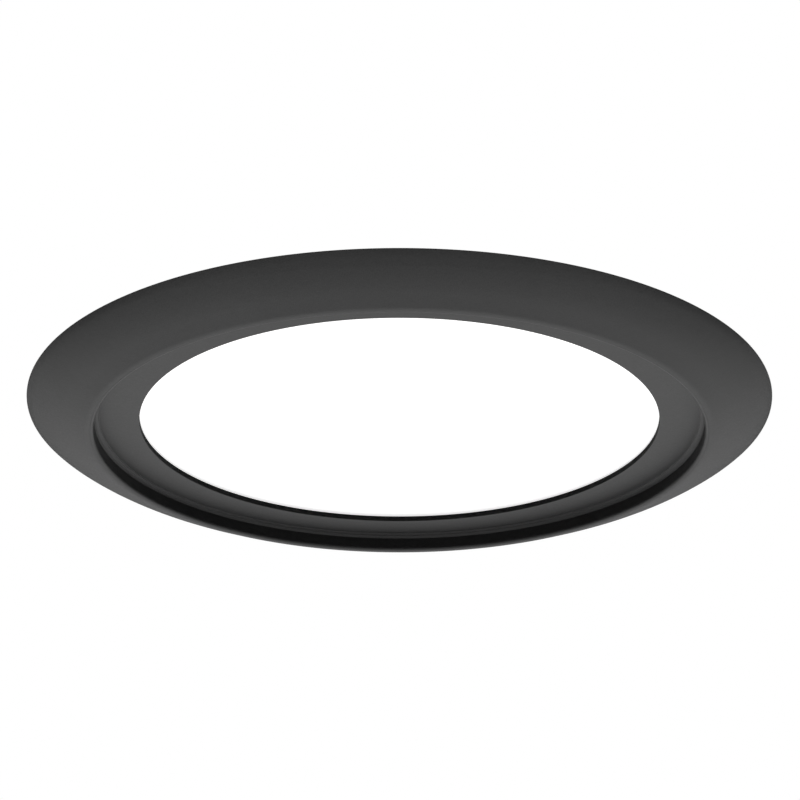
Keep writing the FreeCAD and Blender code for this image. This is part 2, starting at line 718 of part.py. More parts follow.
def bezel(magnet_x, magnet_y):
    """Die-cast frame: a flat flange under the trim and the wall that goes into the cut-out."""
    body = turned_body(
        "bezel",
        [
            (bezel_opening, bezel_face),
            (bezel_radius, bezel_face),
            (bezel_radius, bezel_back),
            (spigot_radius, bezel_back),
            (spigot_radius, spigot_top),
            (spigot_inner, spigot_top),
            (spigot_inner, bezel_back),
            (bezel_opening, bezel_back),
        ],
    )
    seat = new_sketch(body, "XY_Plane", "striker_seat", bezel_face)
    round_hole(seat, s.magnet_radius + s.striker_rim + s.magnet_play, magnet_x, magnet_y)
    patterned(body, [pocket(body, seat, s.striker_height, backwards=True)], s.magnets)
    pilot = new_sketch(body, "XY_Plane", "pilot_hole", spigot_top)
    round_hole(pilot, s.screw_radius + s.screw_play, *screw_place())
    patterned(body, [pocket(body, pilot, s.screw_length)], s.cover_screws)


def striker_plates(magnet_x, magnet_y):
    body = new_body("striker_plates")
    plate = new_sketch(body, "XY_Plane", "plate", bezel_face)
    round_hole(plate, s.magnet_radius + s.striker_rim, magnet_x, magnet_y)
    patterned(body, [pad(body, plate, s.striker_height)], s.magnets)


def screw_place():
    """The first cover screw, half a step away from the X axis."""
    angle = 180 / s.cover_screws
    return screw_circle * cosine(angle), screw_circle * sine(angle)


def soffit_gasket():
    ring("soffit_gasket", spigot_radius + s.gasket_margin, bezel_radius - s.gasket_margin, bezel_back, 0)


def lens_seal():
    inner, outer = bezel_opening + s.edge_gap, spigot_inner - s.edge_gap
    ring("lens_seal", inner, outer, bezel_back, lens_seat)


def diffuser_lens():
    """Opal lens: a shallow dish whose face is level with the bezel and whose lip rests on the seal."""
    face_radius = bezel_opening - s.edge_gap
    lip_radius = spigot_inner - s.edge_gap
    hollow_radius = face_radius - s.lens_skin
    turned_body(
        "diffuser_lens",
        [
            (0, bezel_face),
            (face_radius, bezel_face),
            (face_radius, lens_seat),
            (lip_radius, lens_seat),
            (lip_radius, guide_bottom),
            (hollow_radius, guide_bottom),
            (hollow_radius, bezel_face + s.lens_skin),
            (0, bezel_face + s.lens_skin),
        ],
    )


def led_strip():
    bottom = guide_bottom + (s.guide_height - s.strip_height) / 2
    top = bottom + s.strip_height
    ring("led_strip", strip_radius - s.strip_thickness, strip_radius, bottom, top)


def led_chips():
    """Small lamps that stand on the strip and shine into the guide's edge."""
    outer = strip_radius - s.strip_thickness
    bottom = guide_bottom + (s.guide_height - s.led_height) / 2
    body = new_body("led_chips")
    chip = new_sketch(body, "XY_Plane", "chip", bottom)
    # the flat back of a lamp lies against the inside of a round strip
    back = root(outer * outer - s.led_width * s.led_width / 4)
    rectangle(chip, back - s.led_depth, -s.led_width / 2, back, s.led_width / 2)
    patterned(body, [pad(body, chip, s.led_height)], s.led_count)


def optical_stack():
    disc("light_guide", guide_radius, guide_bottom, guide_top)
    disc("reflector_sheet", spigot_inner - s.edge_gap, guide_top, sheet_top)
    ring("foam_pad", foam_radius - s.foam_width, foam_radius, sheet_top, spigot_top)


# ---------------------------------------------------------------- rear cover


def clip_rivet_places():
    """Where the rivets of the right-hand clip's bracket are."""
    rear = clip_start + s.rivet_head_radius + s.rivet_margin
    return [(arm_start, 0), (rear, s.ear_inner / 2)]


def rear_cover():
    """Pressed plate with a ring of ribs, screwed to the top of the bezel's wall."""
    radius = spigot_radius - s.edge_gap
    body = ring("rear_cover", s.lead_hole, radius, spigot_top, cover_top)
    rib = new_sketch(body, "XY_Plane", "rib", cover_top)
    half = s.cover_rib_width / 2
    angle = 180 / s.cover_ribs

    def turned_place(run, side):
        return (
            run * cosine(angle) - side * sine(angle),
            run * sine(angle) + side * cosine(angle),
        )

    outer = spigot_radius - s.cover_rib_inset - half
    inner = outer - s.cover_rib_length + s.cover_rib_width
    outline(
        rib,
        [
            curve_to(*turned_place(inner, -half), half * HALF_CIRCLE),
            turned_place(outer, -half),
            curve_to(*turned_place(outer, half), half * HALF_CIRCLE),
            turned_place(inner, half),
        ],
    )
    patterned(body, [pad(body, rib, s.cover_rib_height)], s.cover_ribs)
    hole = new_sketch(body, "XY_Plane", "screw_hole", cover_top)
    round_hole(hole, s.screw_radius + s.screw_play, *screw_place())
    patterned(body, [pocket(body, hole, s.cover_thickness)], s.cover_screws)
    rivet_holes = new_sketch(body, "XY_Plane", "rivet_holes", cover_top)
    for x, y in corners_of(tray_rivet_x, tray_rivet_y):
        round_hole(rivet_holes, s.rivet_radius + s.screw_play, x, y)
    for x, y in clip_rivet_places():
        round_hole(rivet_holes, s.rivet_radius + s.screw_play, x, y)
        round_hole(rivet_holes, s.rivet_radius + s.screw_play, -x, -y)
    pocket(body, rivet_holes, s.cover_thickness)


def rear_cover_screws():
    body, screw = screws_at("rear_cover_screws", [screw_place()], cover_top, s.screw_length)
    patterned(body, screw, s.cover_screws)


def earth_terminal():
    """Stud on the rear cover for the earth lead, with its washer and nut."""
    x, y = earth_place_x, earth_place_y
    stud = new_body("earth_stud")
    shank = new_sketch(stud, "XY_Plane", "shank", cover_top)
    round_hole(shank, s.earth_radius, x, y)
    pad(stud, shank, s.earth_length)
    washer = new_body("earth_washer")
    face = new_sketch(washer, "XY_Plane", "face", cover_top)
    round_hole(face, s.earth_washer_radius, x, y)
    round_hole(face, s.earth_radius + s.screw_play, x, y)
    pad(washer, face, s.earth_washer_height)
    nut = new_body("earth_nut")
    flats = new_sketch(nut, "XY_Plane", "flats", cover_top + s.earth_washer_height)
    hexagon(flats, s.earth_nut_flat, x, y)
    round_hole(flats, s.earth_radius + s.screw_play, x, y)
    pad(nut, flats, s.earth_nut_height)


# ---------------------------------------------------------------- driver box


def lid_screw_places():
    return corners_of(
        tray_half_length - s.lid_boss_inset, s.tray_half_width - s.lid_boss_inset
    )


def driver_tray():
    """Open moulded tray with posts for the board and the lid, and a hole for the gland."""
    body = new_body("driver_tray")
    outside = new_sketch(body, "XY_Plane", "outside", cover_top)
    rounded_rectangle(outside, tray_half_length, s.tray_half_width, s.tray_corner)
    pad(body, outside, s.tray_height)
    inside = new_sketch(body, "XY_Plane", "inside", tray_top)
    rounded_rectangle(
        inside,
        tray_half_length - s.tray_wall,
        s.tray_half_width - s.tray_wall,
        s.tray_corner - s.tray_wall,
    )
    pocket(body, inside, s.tray_height - s.tray_wall)
    posts = new_sketch(body, "XY_Plane", "lid_posts", cover_top)
    for x, y in lid_screw_places():
        round_hole(posts, s.lid_boss_radius, x, y)
    pad(body, posts, s.tray_height)
    bores = new_sketch(body, "XY_Plane", "lid_bores", tray_top)
    for x, y in lid_screw_places():
        round_hole(bores, s.screw_radius + s.screw_play, x, y)
    pocket(body, bores, s.screw_length + s.screw_play)
    standoffs = new_sketch(body, "XY_Plane", "standoffs", cover_top)
    for x, y in corners_of(board_screw_x, board_screw_y):
        round_hole(standoffs, s.standoff_radius, x, y)
    pad(body, standoffs, s.tray_wall + s.standoff_height)
    pilots = new_sketch(body, "XY_Plane", "board_pilots", board_bottom)
    for x, y in corners_of(board_screw_x, board_screw_y):
        round_hole(pilots, s.screw_radius + s.screw_play, x, y)
    pocket(body, pilots, s.standoff_height)
    floor_holes = new_sketch(body, "XY_Plane", "floor_holes", tray_floor)
    for x, y in corners_of(tray_rivet_x, tray_rivet_y):
        round_hole(floor_holes, s.rivet_radius + s.screw_play, x, y)
    round_hole(floor_holes, s.lead_hole)
    pocket(body, floor_holes, s.tray_wall)
    # the XZ plane's normal points to -Y, so the far wall lies at a negative offset
    gland_hole = new_sketch(body, "XZ_Plane", "gland_hole", -s.tray_half_width)
    round_hole(gland_hole, s.gland_thread + s.screw_play, gland_place, gland_height)
    pocket(body, gland_hole, s.tray_wall, backwards=True)


def driver_lid():
    """Flat lid with a hollow and a slot for the selector's knob."""
    body = new_body("driver_lid")
    plate = new_sketch(body, "XY_Plane", "plate", lid_bottom)
    rounded_rectangle(plate, tray_half_length, s.tray_half_width, s.tray_corner)
    slab = pad(body, plate, s.lid_thickness)
    rounded(body, slab, edges_at_height(slab, lid_top), s.lid_edge_round)
    well = new_sketch(body, "XY_Plane", "well", lid_top)
    rounded_rectangle(
        well,
        s.knob_half + s.knob_travel + s.well_end_gap,
        s.knob_half + s.well_side_gap,
        s.lid_edge_round,
        switch_place_x,
        switch_place_y,
    )
    pocket(body, well, s.well_depth)
    slot = new_sketch(body, "XY_Plane", "slot", lid_top)
    half_length = s.knob_travel + s.knob_stem + s.knob_play
    half_width = s.knob_stem + s.knob_play
    rectangle(
        slot,
        switch_place_x - half_length,
        switch_place_y - half_width,
        switch_place_x + half_length,
        switch_place_y + half_width,
    )
    pocket(body, slot, s.lid_thickness)
    holes = new_sketch(body, "XY_Plane", "screw_holes", lid_top)
    for x, y in lid_screw_places():
        round_hole(holes, s.screw_radius + s.screw_play, x, y)
    pocket(body, holes, s.lid_thickness)


def lid_seal():
    body = new_body("lid_seal")
    sketch = new_sketch(body, "XY_Plane", "outline", tray_top)
    inset = s.edge_gap
    rounded_rectangle(
        sketch, tray_half_length - inset, s.tray_half_width - inset, s.tray_corner - inset
    )
    rounded_rectangle(
        sketch,
        tray_half_length - s.tray_wall,
        s.tray_half_width - s.tray_wall,
        s.tray_corner - s.tray_wall,
    )
    pad(body, sketch, s.lid_seal_height)


def box_fasteners():
    screws_at(
        "lid_screws",
        lid_screw_places(),
        lid_top,
        s.lid_thickness + s.lid_seal_height + s.screw_length,
    )
    screws_at(
        "board_screws",
        corners_of(board_screw_x, board_screw_y),
        board_top,
        s.board_thickness + s.standoff_height - s.screw_play,
    )
    rivets_at(
        "tray_rivets",
        corners_of(tray_rivet_x, tray_rivet_y),
        tray_floor,
        s.tray_wall + s.cover_thickness,
    )


# ---------------------------------------------------------------- driver


def driver_board():
    body = new_body("driver_board")
    sketch = new_sketch(body, "XY_Plane", "outline", board_bottom)
    rectangle(
        sketch,
        -board_half_length,
        -board_half_width,
        board_half_length,
        board_half_width,
    )
    for x, y in corners_of(board_screw_x, board_screw_y):
        round_hole(sketch, s.screw_radius + s.screw_play, x, y)
    pad(body, sketch, s.board_thickness)


def transformer():
    """Ferrite core with a winding that stands out on both sides."""
    body = new_body("transformer")
    core = new_sketch(body, "XY_Plane", "core", board_top)
    rectangle(
        core,
        core_place - s.core_half_length,
        -s.core_half_width,
        core_place + s.core_half_length,
        s.core_half_width,
    )
    pad(body, core, s.core_height)
    winding = new_sketch(body, "XY_Plane", "winding", board_top)
    half = s.core_half_length - s.core_limb
    rounded_rectangle(winding, half, s.winding_half_width, s.core_limb, core_place)
    pad(body, winding, s.core_height - s.core_limb / 2)


def bulk_capacitor():
    """Can that lies on the board, with the crimped groove near its open end."""
    groove = s.can_groove
    body = turned_body(
        "bulk_capacitor",
        [
            (0, 0),
            (s.can_radius, 0),
            (s.can_radius, groove * 3),
            (s.can_radius - groove, groove * 4),
            (s.can_radius, groove * 5),
            (s.can_radius, s.can_length),
            (0, s.can_length),
        ],
    )
    place(body, can_place_x, can_place_y, board_top + s.can_radius, TURN_TO_X)


def film_capacitor():
    body = new_body("film_capacitor")
    sketch = new_sketch(body, "XY_Plane", "outline", board_top)
    rounded_rectangle(
        sketch,
        s.film_half_length,
        s.film_half_width,
        s.film_corner,
        film_place_x,
        film_place_y,
    )
    pad(body, sketch, s.film_height)


def choke():
    """Drum core with its winding between two flanges."""
    body = turned_body(
        "choke",
        [
            (0, 0),
            (s.choke_radius, 0),
            (s.choke_radius, s.choke_flange),
            (s.choke_waist, s.choke_flange),
            (s.choke_waist, s.choke_height - s.choke_flange),
            (s.choke_radius, s.choke_height - s.choke_flange),
            (s.choke_radius, s.choke_height),
            (0, s.choke_height),
        ],
    )
    place(body, choke_place_x, choke_place_y, board_top)


def terminal_block():
    """Three-way terminal whose wire holes face the gland."""
    body = new_body("terminal_block")
    far = board_half_width
    sketch = new_sketch(body, "XY_Plane", "outline", board_top)
    rectangle(
        sketch,
        gland_place - s.terminal_half_length,
        far - s.terminal_depth,
        gland_place + s.terminal_half_length,
        far,
    )
    pad(body, sketch, s.terminal_height)
    holes = new_sketch(body, "XZ_Plane", "wire_holes", -far)
    for step in (-1, 0, 1):
        x = gland_place + s.terminal_pitch * step
        round_hole(holes, s.terminal_hole, x, board_top + s.terminal_height / 2)
    pocket(body, holes, s.terminal_hole_depth, backwards=True)


# ---------------------------------------------------------------- colour selector


def selector_switch():
    """Slide switch on the board, open on top for the knob's stem."""
    body = new_body("selector_switch")
    sketch = new_sketch(body, "XY_Plane", "outline", board_top)
    x, y = switch_place_x, switch_place_y
    rectangle(
        sketch,
        x - s.switch_half_length,
        y - s.switch_half_width,
        x + s.switch_half_length,
        y + s.switch_half_width,
    )
    pad(body, sketch, s.switch_height)
    slot = new_sketch(body, "XY_Plane", "slot", board_top + s.switch_height)
    half_length = s.knob_travel + s.knob_stem + s.knob_play
    half_width = s.knob_stem + s.knob_play
    rectangle(slot, x - half_length, y - half_width, x + half_length, y + half_width)
    pocket(body, slot, s.knob_stem_depth + s.seat_gap)


def selector_knob():
    """Knob in the lid's hollow, on a stem that goes down into the selector."""
    body = new_body("selector_knob")
    x, y = switch_place_x, switch_place_y
    stem_bottom = board_top + s.switch_height - s.knob_stem_depth
    knob_bottom = lid_top - s.well_depth + s.seat_gap
    cap = new_sketch(body, "XY_Plane", "cap", knob_bottom)
    rounded_rectangle(cap, s.knob_half, s.knob_half, s.knob_corner, x, y)
    pad(body, cap, s.knob_height)
    stem = new_sketch(body, "XY_Plane", "stem", stem_bottom)
    rectangle(stem, x - s.knob_stem, y - s.knob_stem, x + s.knob_stem, y + s.knob_stem)
    pad(body, stem, knob_bottom - stem_bottom)


# ---------------------------------------------------------------- cable gland


def cable_gland():
    """Gland in the box's far wall: body, locknut inside, rubber insert and cap. Its own axis is Z."""
    wall_out = s.tray_half_width
    inner_length = s.tray_wall + s.gland_locknut_height
    outer_length = s.gland_hex_height + s.gland_collar

    body = ring("gland_body", s.gland_bore, s.gland_thread, -inner_length, outer_length)
    flats = new_sketch(body, "XY_Plane", "flats")
    hexagon(flats, gland_hex)
    round_hole(flats, s.gland_bore)
    pad(body, flats, s.gland_hex_height)
    throat = new_sketch(body, "XY_Plane", "throat", outer_length)
    round_hole(throat, s.gland_insert_radius)
    pocket(body, throat, s.gland_collar)
    place(body, gland_place, wall_out, gland_height, TURN_TO_Y)

    locknut = new_body("gland_locknut")
    nut_flats = new_sketch(locknut, "XY_Plane", "flats", -inner_length)
    hexagon(nut_flats, gland_locknut_flat)
    round_hole(nut_flats, s.gland_thread + s.screw_play)
    pad(locknut, nut_flats, s.gland_locknut_height)
    place(locknut, gland_place, wall_out, gland_height, TURN_TO_Y)

    cap_start = s.gland_hex_height + s.seat_gap
    cap_end = s.gland_hex_height + s.gland_cap_length
    insert_end = outer_length + s.gland_collar / 2
    insert = ring(
        "gland_insert",
        s.gland_bore,
        s.gland_insert_radius - s.seat_gap,
        s.gland_hex_height,
        insert_end,
    )
    place(insert, gland_place, wall_out, gland_height, TURN_TO_Y)

    shoulder = s.gland_thread + s.seat_gap
    dome = s.gland_cap_radius - s.gland_cap_mouth
    cap = turned_body(
        "gland_cap",
        [
            (shoulder, cap_start),
            (s.gland_cap_radius, cap_start),
            (s.gland_cap_radius, cap_end - dome),
            curve_to(s.gland_cap_mouth, cap_end, dome),
            (s.gland_cap_mouth, insert_end + s.seat_gap),
            (shoulder, insert_end + s.seat_gap),
        ],
    )
    place(cap, gland_place, wall_out, gland_height, TURN_TO_Y)


# ---------------------------------------------------------------- spring clips


def clip_bracket(side):
    """Folded bracket: a floor riveted to the cover, two ears for the pin and a tab that stops the arm."""
    body = new_body(f"clip_bracket_{side}")
    ear_outer = s.ear_inner + s.clip_sheet
    floor = new_sketch(body, "XY_Plane", "floor", cover_top)
    rectangle(floor, clip_start, -ear_outer, clip_end, ear_outer)
    for x, y in clip_rivet_places():
        round_hole(floor, s.rivet_radius + s.screw_play, x, y)
    pad(body, floor, s.clip_sheet)
    ear = new_sketch(body, "XZ_Plane", "ear", s.ear_inner)
    outline(
        ear,
        [
            (clip_pivot - s.ear_foot, cover_top),
            (clip_pivot + s.ear_foot, cover_top),
            (clip_pivot + s.ear_foot, bracket_top),
            (clip_pivot + s.ear_radius, pivot_height),
            curve_to(clip_pivot - s.ear_radius, pivot_height, s.ear_radius * HALF_CIRCLE),
            (clip_pivot - s.ear_foot, bracket_top),
        ],
    )
    round_hole(ear, s.pin_radius + s.pin_play, clip_pivot, pivot_height)
    near_ear = pad(body, ear, s.clip_sheet)
    mirrored = body.newObject("PartDesign::Mirrored", f"{body.Label}_far_ear")
    mirrored.Originals = [near_ear]
    mirrored.MirrorPlane = (origin_feature(body, "XZ_Plane"), [""])
    body.Tip = mirrored
    doc.recompute()
    tab = new_sketch(body, "XY_Plane", "stop_tab", cover_top)
    rectangle(tab, clip_end - s.clip_sheet, -arm_outer, clip_end, arm_outer)
    pad(body, tab, pivot_height - s.cheek_foot - s.seat_gap - cover_top)
    return body


def clip_pin(side):
    """Headed pin, clinched at its far end."""
    half = s.ear_inner + s.clip_sheet
    body = turned_body(
        f"clip_pin_{side}",
        [
            (0, -half - s.pin_head_height),
            (s.pin_head_radius, -half - s.pin_head_height),
            (s.pin_head_radius, -half),
            (s.pin_radius, -half),
            (s.pin_radius, half),
            (s.pin_head_radius, half),
            (s.pin_head_radius - s.pin_head_height / 2, half + s.pin_head_height),
            (0, half + s.pin_head_height),
        ],
    )
    return body


arm_outer = s.ear_inner - s.edge_gap
bent_length = root(s.arm_run * s.arm_run + s.arm_drop * s.arm_drop)
bend_cosine = s.arm_run / bent_length
bend_sine = s.arm_drop / bent_length


def on_bent_part(run, rise):
    """A place on the arm's bent part, along its upper face and up from it."""
    x = arm_bend + run * bend_cosine + rise * bend_sine
    z = arm_top - run * bend_sine + rise * bend_cosine
    return x, z


def clip_arm(side):
    """Stamped arm: a web that bends down to its tip, between two cheeks that turn on the pin."""
    body = new_body(f"clip_arm_{side}")
    inner_bend = arm_bend - s.arm_sheet * (1 - bend_cosine) / bend_sine
    web = new_sketch(body, "XZ_Plane", "web")
    outline(
        web,
        [
            (arm_start, arm_top - s.arm_sheet),
            (inner_bend, arm_top - s.arm_sheet),
            on_bent_part(bent_length, -s.arm_sheet),
            on_bent_part(bent_length, 0),
            (arm_bend, arm_top),
            (arm_start, arm_top),
        ],
    )
    pad(body, web, 2 * arm_outer, symmetric=True)
    cheek = new_sketch(body, "XZ_Plane", "cheek", arm_outer - s.arm_sheet)
    stop_height = pivot_height - s.cheek_foot
    stop_end = clip_end + s.edge_gap
    outline(
        cheek,
        [
            curve_to(clip_pivot, pivot_height - s.cheek_radius, s.cheek_radius * HALF_CIRCLE),
            (stop_end - s.stop_inset, stop_height),
            (stop_end, stop_height),
            (arm_neck, arm_top - s.arm_sheet),
            (arm_neck, arm_top),
            (arm_start, arm_top),
            (clip_pivot, pivot_height + s.cheek_radius),
        ],
    )
    round_hole(cheek, s.pin_radius + s.pin_play, clip_pivot, pivot_height)
    near_cheek = pad(body, cheek, s.arm_sheet)
    mirrored = body.newObject("PartDesign::Mirrored", f"{body.Label}_far_cheek")
    mirrored.Originals = [near_cheek]
    mirrored.MirrorPlane = (origin_feature(body, "XZ_Plane"), [""])
    body.Tip = mirrored
    doc.recompute()
    sides = new_sketch(body, "XY_Plane", "narrowing", pivot_height + s.clip_pivot_rise)
    beyond = arm_bend + 2 * s.arm_run
    wide = 2 * arm_outer
    for sign in (1, -1):
        outline(
            sides,
            [
                (arm_neck, arm_outer * sign),
                (arm_bend, s.arm_tip_half * sign),
                (beyond, s.arm_tip_half * sign),
                (beyond, wide * sign),
                (arm_neck, wide * sign),
            ],
        )
    pocket(body, sides, pivot_height + s.clip_pivot_rise)
    return body


def clip_pad(side):
    """Soft sleeve pushed over the arm's end."""
    body = new_body(f"clip_pad_{side}")
    start = bent_length - s.pad_length
    block = new_sketch(body, "XZ_Plane", "block")
    outline(
        block,
        [
            on_bent_part(start, -s.arm_sheet - s.pad_wall),
            on_bent_part(bent_length + s.pad_nose, -s.arm_sheet - s.pad_wall),
            on_bent_part(bent_length + s.pad_nose, s.pad_wall),
            on_bent_part(start, s.pad_wall),
        ],
    )
    pad(body, block, 2 * (s.arm_tip_half + s.pad_wall), symmetric=True)
    inside = new_sketch(body, "XZ_Plane", "inside")
    outline(
        inside,
        [
            on_bent_part(start - s.pad_wall, -s.arm_sheet),
            on_bent_part(bent_length, -s.arm_sheet),
            on_bent_part(bent_length, 0),
            on_bent_part(start - s.pad_wall, 0),
        ],
    )
    pocket(body, inside, 2 * s.arm_tip_half, symmetric=True)
    return body


def clip_spring(side, turn):
    """Torsion spring in one unbroken wire: a leg on the arm, turns round the pin, a leg on the bracket."""
    radius, wire = s.coil_radius.value, s.wire_radius.value
    turns = s.coil_turns.value + s.leg_angle.value / 360
    helix = Part.makeHelix(s.coil_pitch.value, s.coil_pitch.value * turns, radius)
    coil = helix.Edges
    first, last = coil[0], coil[-1]
    start_point = first.valueAt(first.FirstParameter)
    start_way = first.tangentAt(first.FirstParameter)
    end_point = last.valueAt(last.LastParameter)
    end_way = last.tangentAt(last.LastParameter)
    angle = math.radians(s.leg_angle.value)
    drop = (pivot_height - bracket_top).value + radius * math.cos(angle) - wire
    rear_leg = (drop - s.seat_gap.value) / math.sin(angle)
    front = Part.makeLine(start_point - start_way * s.front_leg.value, start_point)
    rear = Part.makeLine(end_point, end_point + end_way * rear_leg)
    path = Part.Wire([front] + coil + [rear])
    circle = Part.Circle(start_point - start_way * s.front_leg.value, start_way, wire)
    section = Part.Wire([circle.toShape()])
    tube = path.makePipeShell([section], True, False)
    # local X goes up, local Y goes inboard and local Z goes along the pin
    axes = FreeCAD.Matrix(
        0, -1, 0, clip_pivot.value,
        0, 0, -1, s.coil_pitch.value * turns / 2,
        1, 0, 0, pivot_height.value,
        0, 0, 0, 1,
    )
    spring = doc.addObject("Part::Feature", f"clip_spring_{side}")
    spring.Label = f"clip_spring_{side}"
    spring.Shape = tube
    spring.Placement = FreeCAD.Placement(axes)
    if turn:
        spring.Placement = FreeCAD.Placement(FreeCAD.Vector(), turn) * spring.Placement
    SUB_PARTS.append(spring)
    gap = s.coil_pitch.value - 2 * wire
    print(f"clip_spring_{side}: {turns:.2f} turns, {gap:.2f} mm between turns")


def spring_clips():
    """Two clips of the same pieces, the left one turned half round the light's axis."""
    for side, turn in (("right", None), ("left", HALF_TURN)):
        for body in (clip_bracket(side), clip_arm(side), clip_pad(side)):
            place(body, turn=turn)
        pin = clip_pin(side)
        pivot = clip_pivot if side == "right" else -clip_pivot
        place(pin, pivot, 0, pivot_height, TURN_TO_Y if side == "right" else TURN_TO_Y.inverted())
        rivets = rivets_at(
            f"clip_rivets_{side}",
            clip_rivet_places(),
            bracket_top,
            s.clip_sheet + s.cover_thickness,
        )
        place(rivets, turn=turn)
        clip_spring(side, turn)


magnet_places = trim_ring()
trim_magnets(*magnet_places)
bezel(*magnet_places)
striker_plates(*magnet_places)
soffit_gasket()
lens_seal()
diffuser_lens()
led_strip()
led_chips()
optical_stack()
rear_cover()
rear_cover_screws()
earth_terminal()
driver_tray()
driver_lid()
lid_seal()
box_fasteners()
driver_board()
transformer()
bulk_capacitor()
film_capacitor()
choke()
terminal_block()
selector_switch()
selector_knob()
cable_gland()
spring_clips()
doc.recompute()

for item in doc.Objects:
    if {"Invalid", "Error"} & set(item.State):
        raise RuntimeError(f"{item.Label} did not build: {item.State}")
os.makedirs("parts", exist_ok=True)
for item in SUB_PARTS:
    if item.Shape.isNull() or not item.Shape.isValid():
        raise RuntimeError(f"{item.Label} has no valid shape")
for item in SUB_PARTS:
    item.Shape.exportStep(f"parts/{item.Label}.step")
    print(f"{item.Label}: {len(item.Shape.Solids)} solids, {item.Shape.Volume:.1f} mm3")
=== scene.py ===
import json
import math

import bmesh
import bpy
from mathutils import Matrix, Vector


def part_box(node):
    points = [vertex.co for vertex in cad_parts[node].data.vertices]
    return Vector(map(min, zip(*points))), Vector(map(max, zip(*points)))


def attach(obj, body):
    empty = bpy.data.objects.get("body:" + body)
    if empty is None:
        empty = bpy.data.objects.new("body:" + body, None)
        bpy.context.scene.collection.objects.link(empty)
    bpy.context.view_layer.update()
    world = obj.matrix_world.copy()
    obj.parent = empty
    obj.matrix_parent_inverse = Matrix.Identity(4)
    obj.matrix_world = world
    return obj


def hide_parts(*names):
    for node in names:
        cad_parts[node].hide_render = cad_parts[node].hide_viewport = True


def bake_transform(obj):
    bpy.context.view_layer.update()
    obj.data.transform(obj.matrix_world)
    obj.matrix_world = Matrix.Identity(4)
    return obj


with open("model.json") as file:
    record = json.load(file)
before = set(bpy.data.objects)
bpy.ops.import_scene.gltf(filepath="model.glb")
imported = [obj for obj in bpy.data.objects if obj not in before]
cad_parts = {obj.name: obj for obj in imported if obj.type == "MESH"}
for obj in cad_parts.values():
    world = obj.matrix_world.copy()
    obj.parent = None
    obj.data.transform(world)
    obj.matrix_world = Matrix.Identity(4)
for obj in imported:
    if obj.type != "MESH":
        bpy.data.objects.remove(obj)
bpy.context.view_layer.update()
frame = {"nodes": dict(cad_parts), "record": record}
SLOT_OF = {row["node"]: row["material_slot"] for row in frame["record"]["subparts"]}
MM = 0.001


# ---------------------------------------------------------------- nodes


def colour(code):
    """An sRGB hex colour as linear red, green, blue and alpha."""
    parts = [int(code[i : i + 2], 16) / 255 for i in (0, 2, 4)]
    return [c / 12.92 if c < 0.04045 else ((c + 0.055) / 1.055) ** 2.4 for c in parts] + [1.0]


def per(size_mm):
    """The scale at which one cell of a pattern is this many millimetres."""
    return 1 / (size_mm * MM)


def add(tree, kind, inputs=None, **settings):
    """Adds a node with its settings. An input takes a value, an output, or a node's first output."""
    made = tree.nodes.new(kind)
    for name, value in settings.items():
        setattr(made, name, value)
    for name, value in (inputs or {}).items():
        if isinstance(value, bpy.types.Node):
            value = next(output for output in value.outputs if output.enabled)
        if isinstance(value, bpy.types.NodeSocket):
            tree.links.new(value, made.inputs[name])
        else:
            made.inputs[name].default_value = value
    return made


def finish_tree(name):
    """An empty material, its tree, and the place on the piece that its patterns follow."""
    material = bpy.data.materials.new(name)
    material.use_nodes = True
    material.node_tree.nodes.clear()
    place = add(material.node_tree, "ShaderNodeTexCoord").outputs["Object"]
    return material, material.node_tree, place


# ---------------------------------------------------------------- finishes of metal


def powder_coat():
    # Matte black polyester powder, sprayed on the cast ring and baked. It is an even near-black skin
    # with a dry fine grain, so its highlights are wide and soft. The grain of about 0.15 mm is drawn
    # three times as coarse, so that it shows.
    material, tree, place = finish_tree("matte_black_powder_coat")
    grain = add(
        tree,
        "ShaderNodeTexNoise",
        {"Vector": place, "Scale": per(0.45), "Detail": 3.0, "Roughness": 0.6},
    )
    peel = add(tree, "ShaderNodeTexNoise", {"Vector": place, "Scale": per(2.5), "Detail": 1.0})
    relief = add(tree, "ShaderNodeMath", {0: grain, 1: peel}, operation="ADD")
    bump = add(
        tree, "ShaderNodeBump", {"Strength": 0.5, "Distance": 0.05 * MM, "Height": relief}
    )
    speckle = add(tree, "ShaderNodeMapRange", {"Value": grain, "From Min": 0.35, "From Max": 0.65})
    tone = add(
        tree,
        "ShaderNodeMix",
        {0: speckle, 6: colour("2F2F30"), 7: colour("393939")},
        data_type="RGBA",
    )
    dry = add(
        tree,
        "ShaderNodeMapRange",
        {"Value": grain, "From Min": 0.3, "From Max": 0.7, "To Min": 0.46, "To Max": 0.6},
    )
    skin = add(
        tree,
        "ShaderNodeBsdfPrincipled",
        {"Base Color": tone, "Roughness": dry, "IOR": 1.5, "Normal": bump},
    )
    add(tree, "ShaderNodeOutputMaterial", {"Surface": skin})
    return material


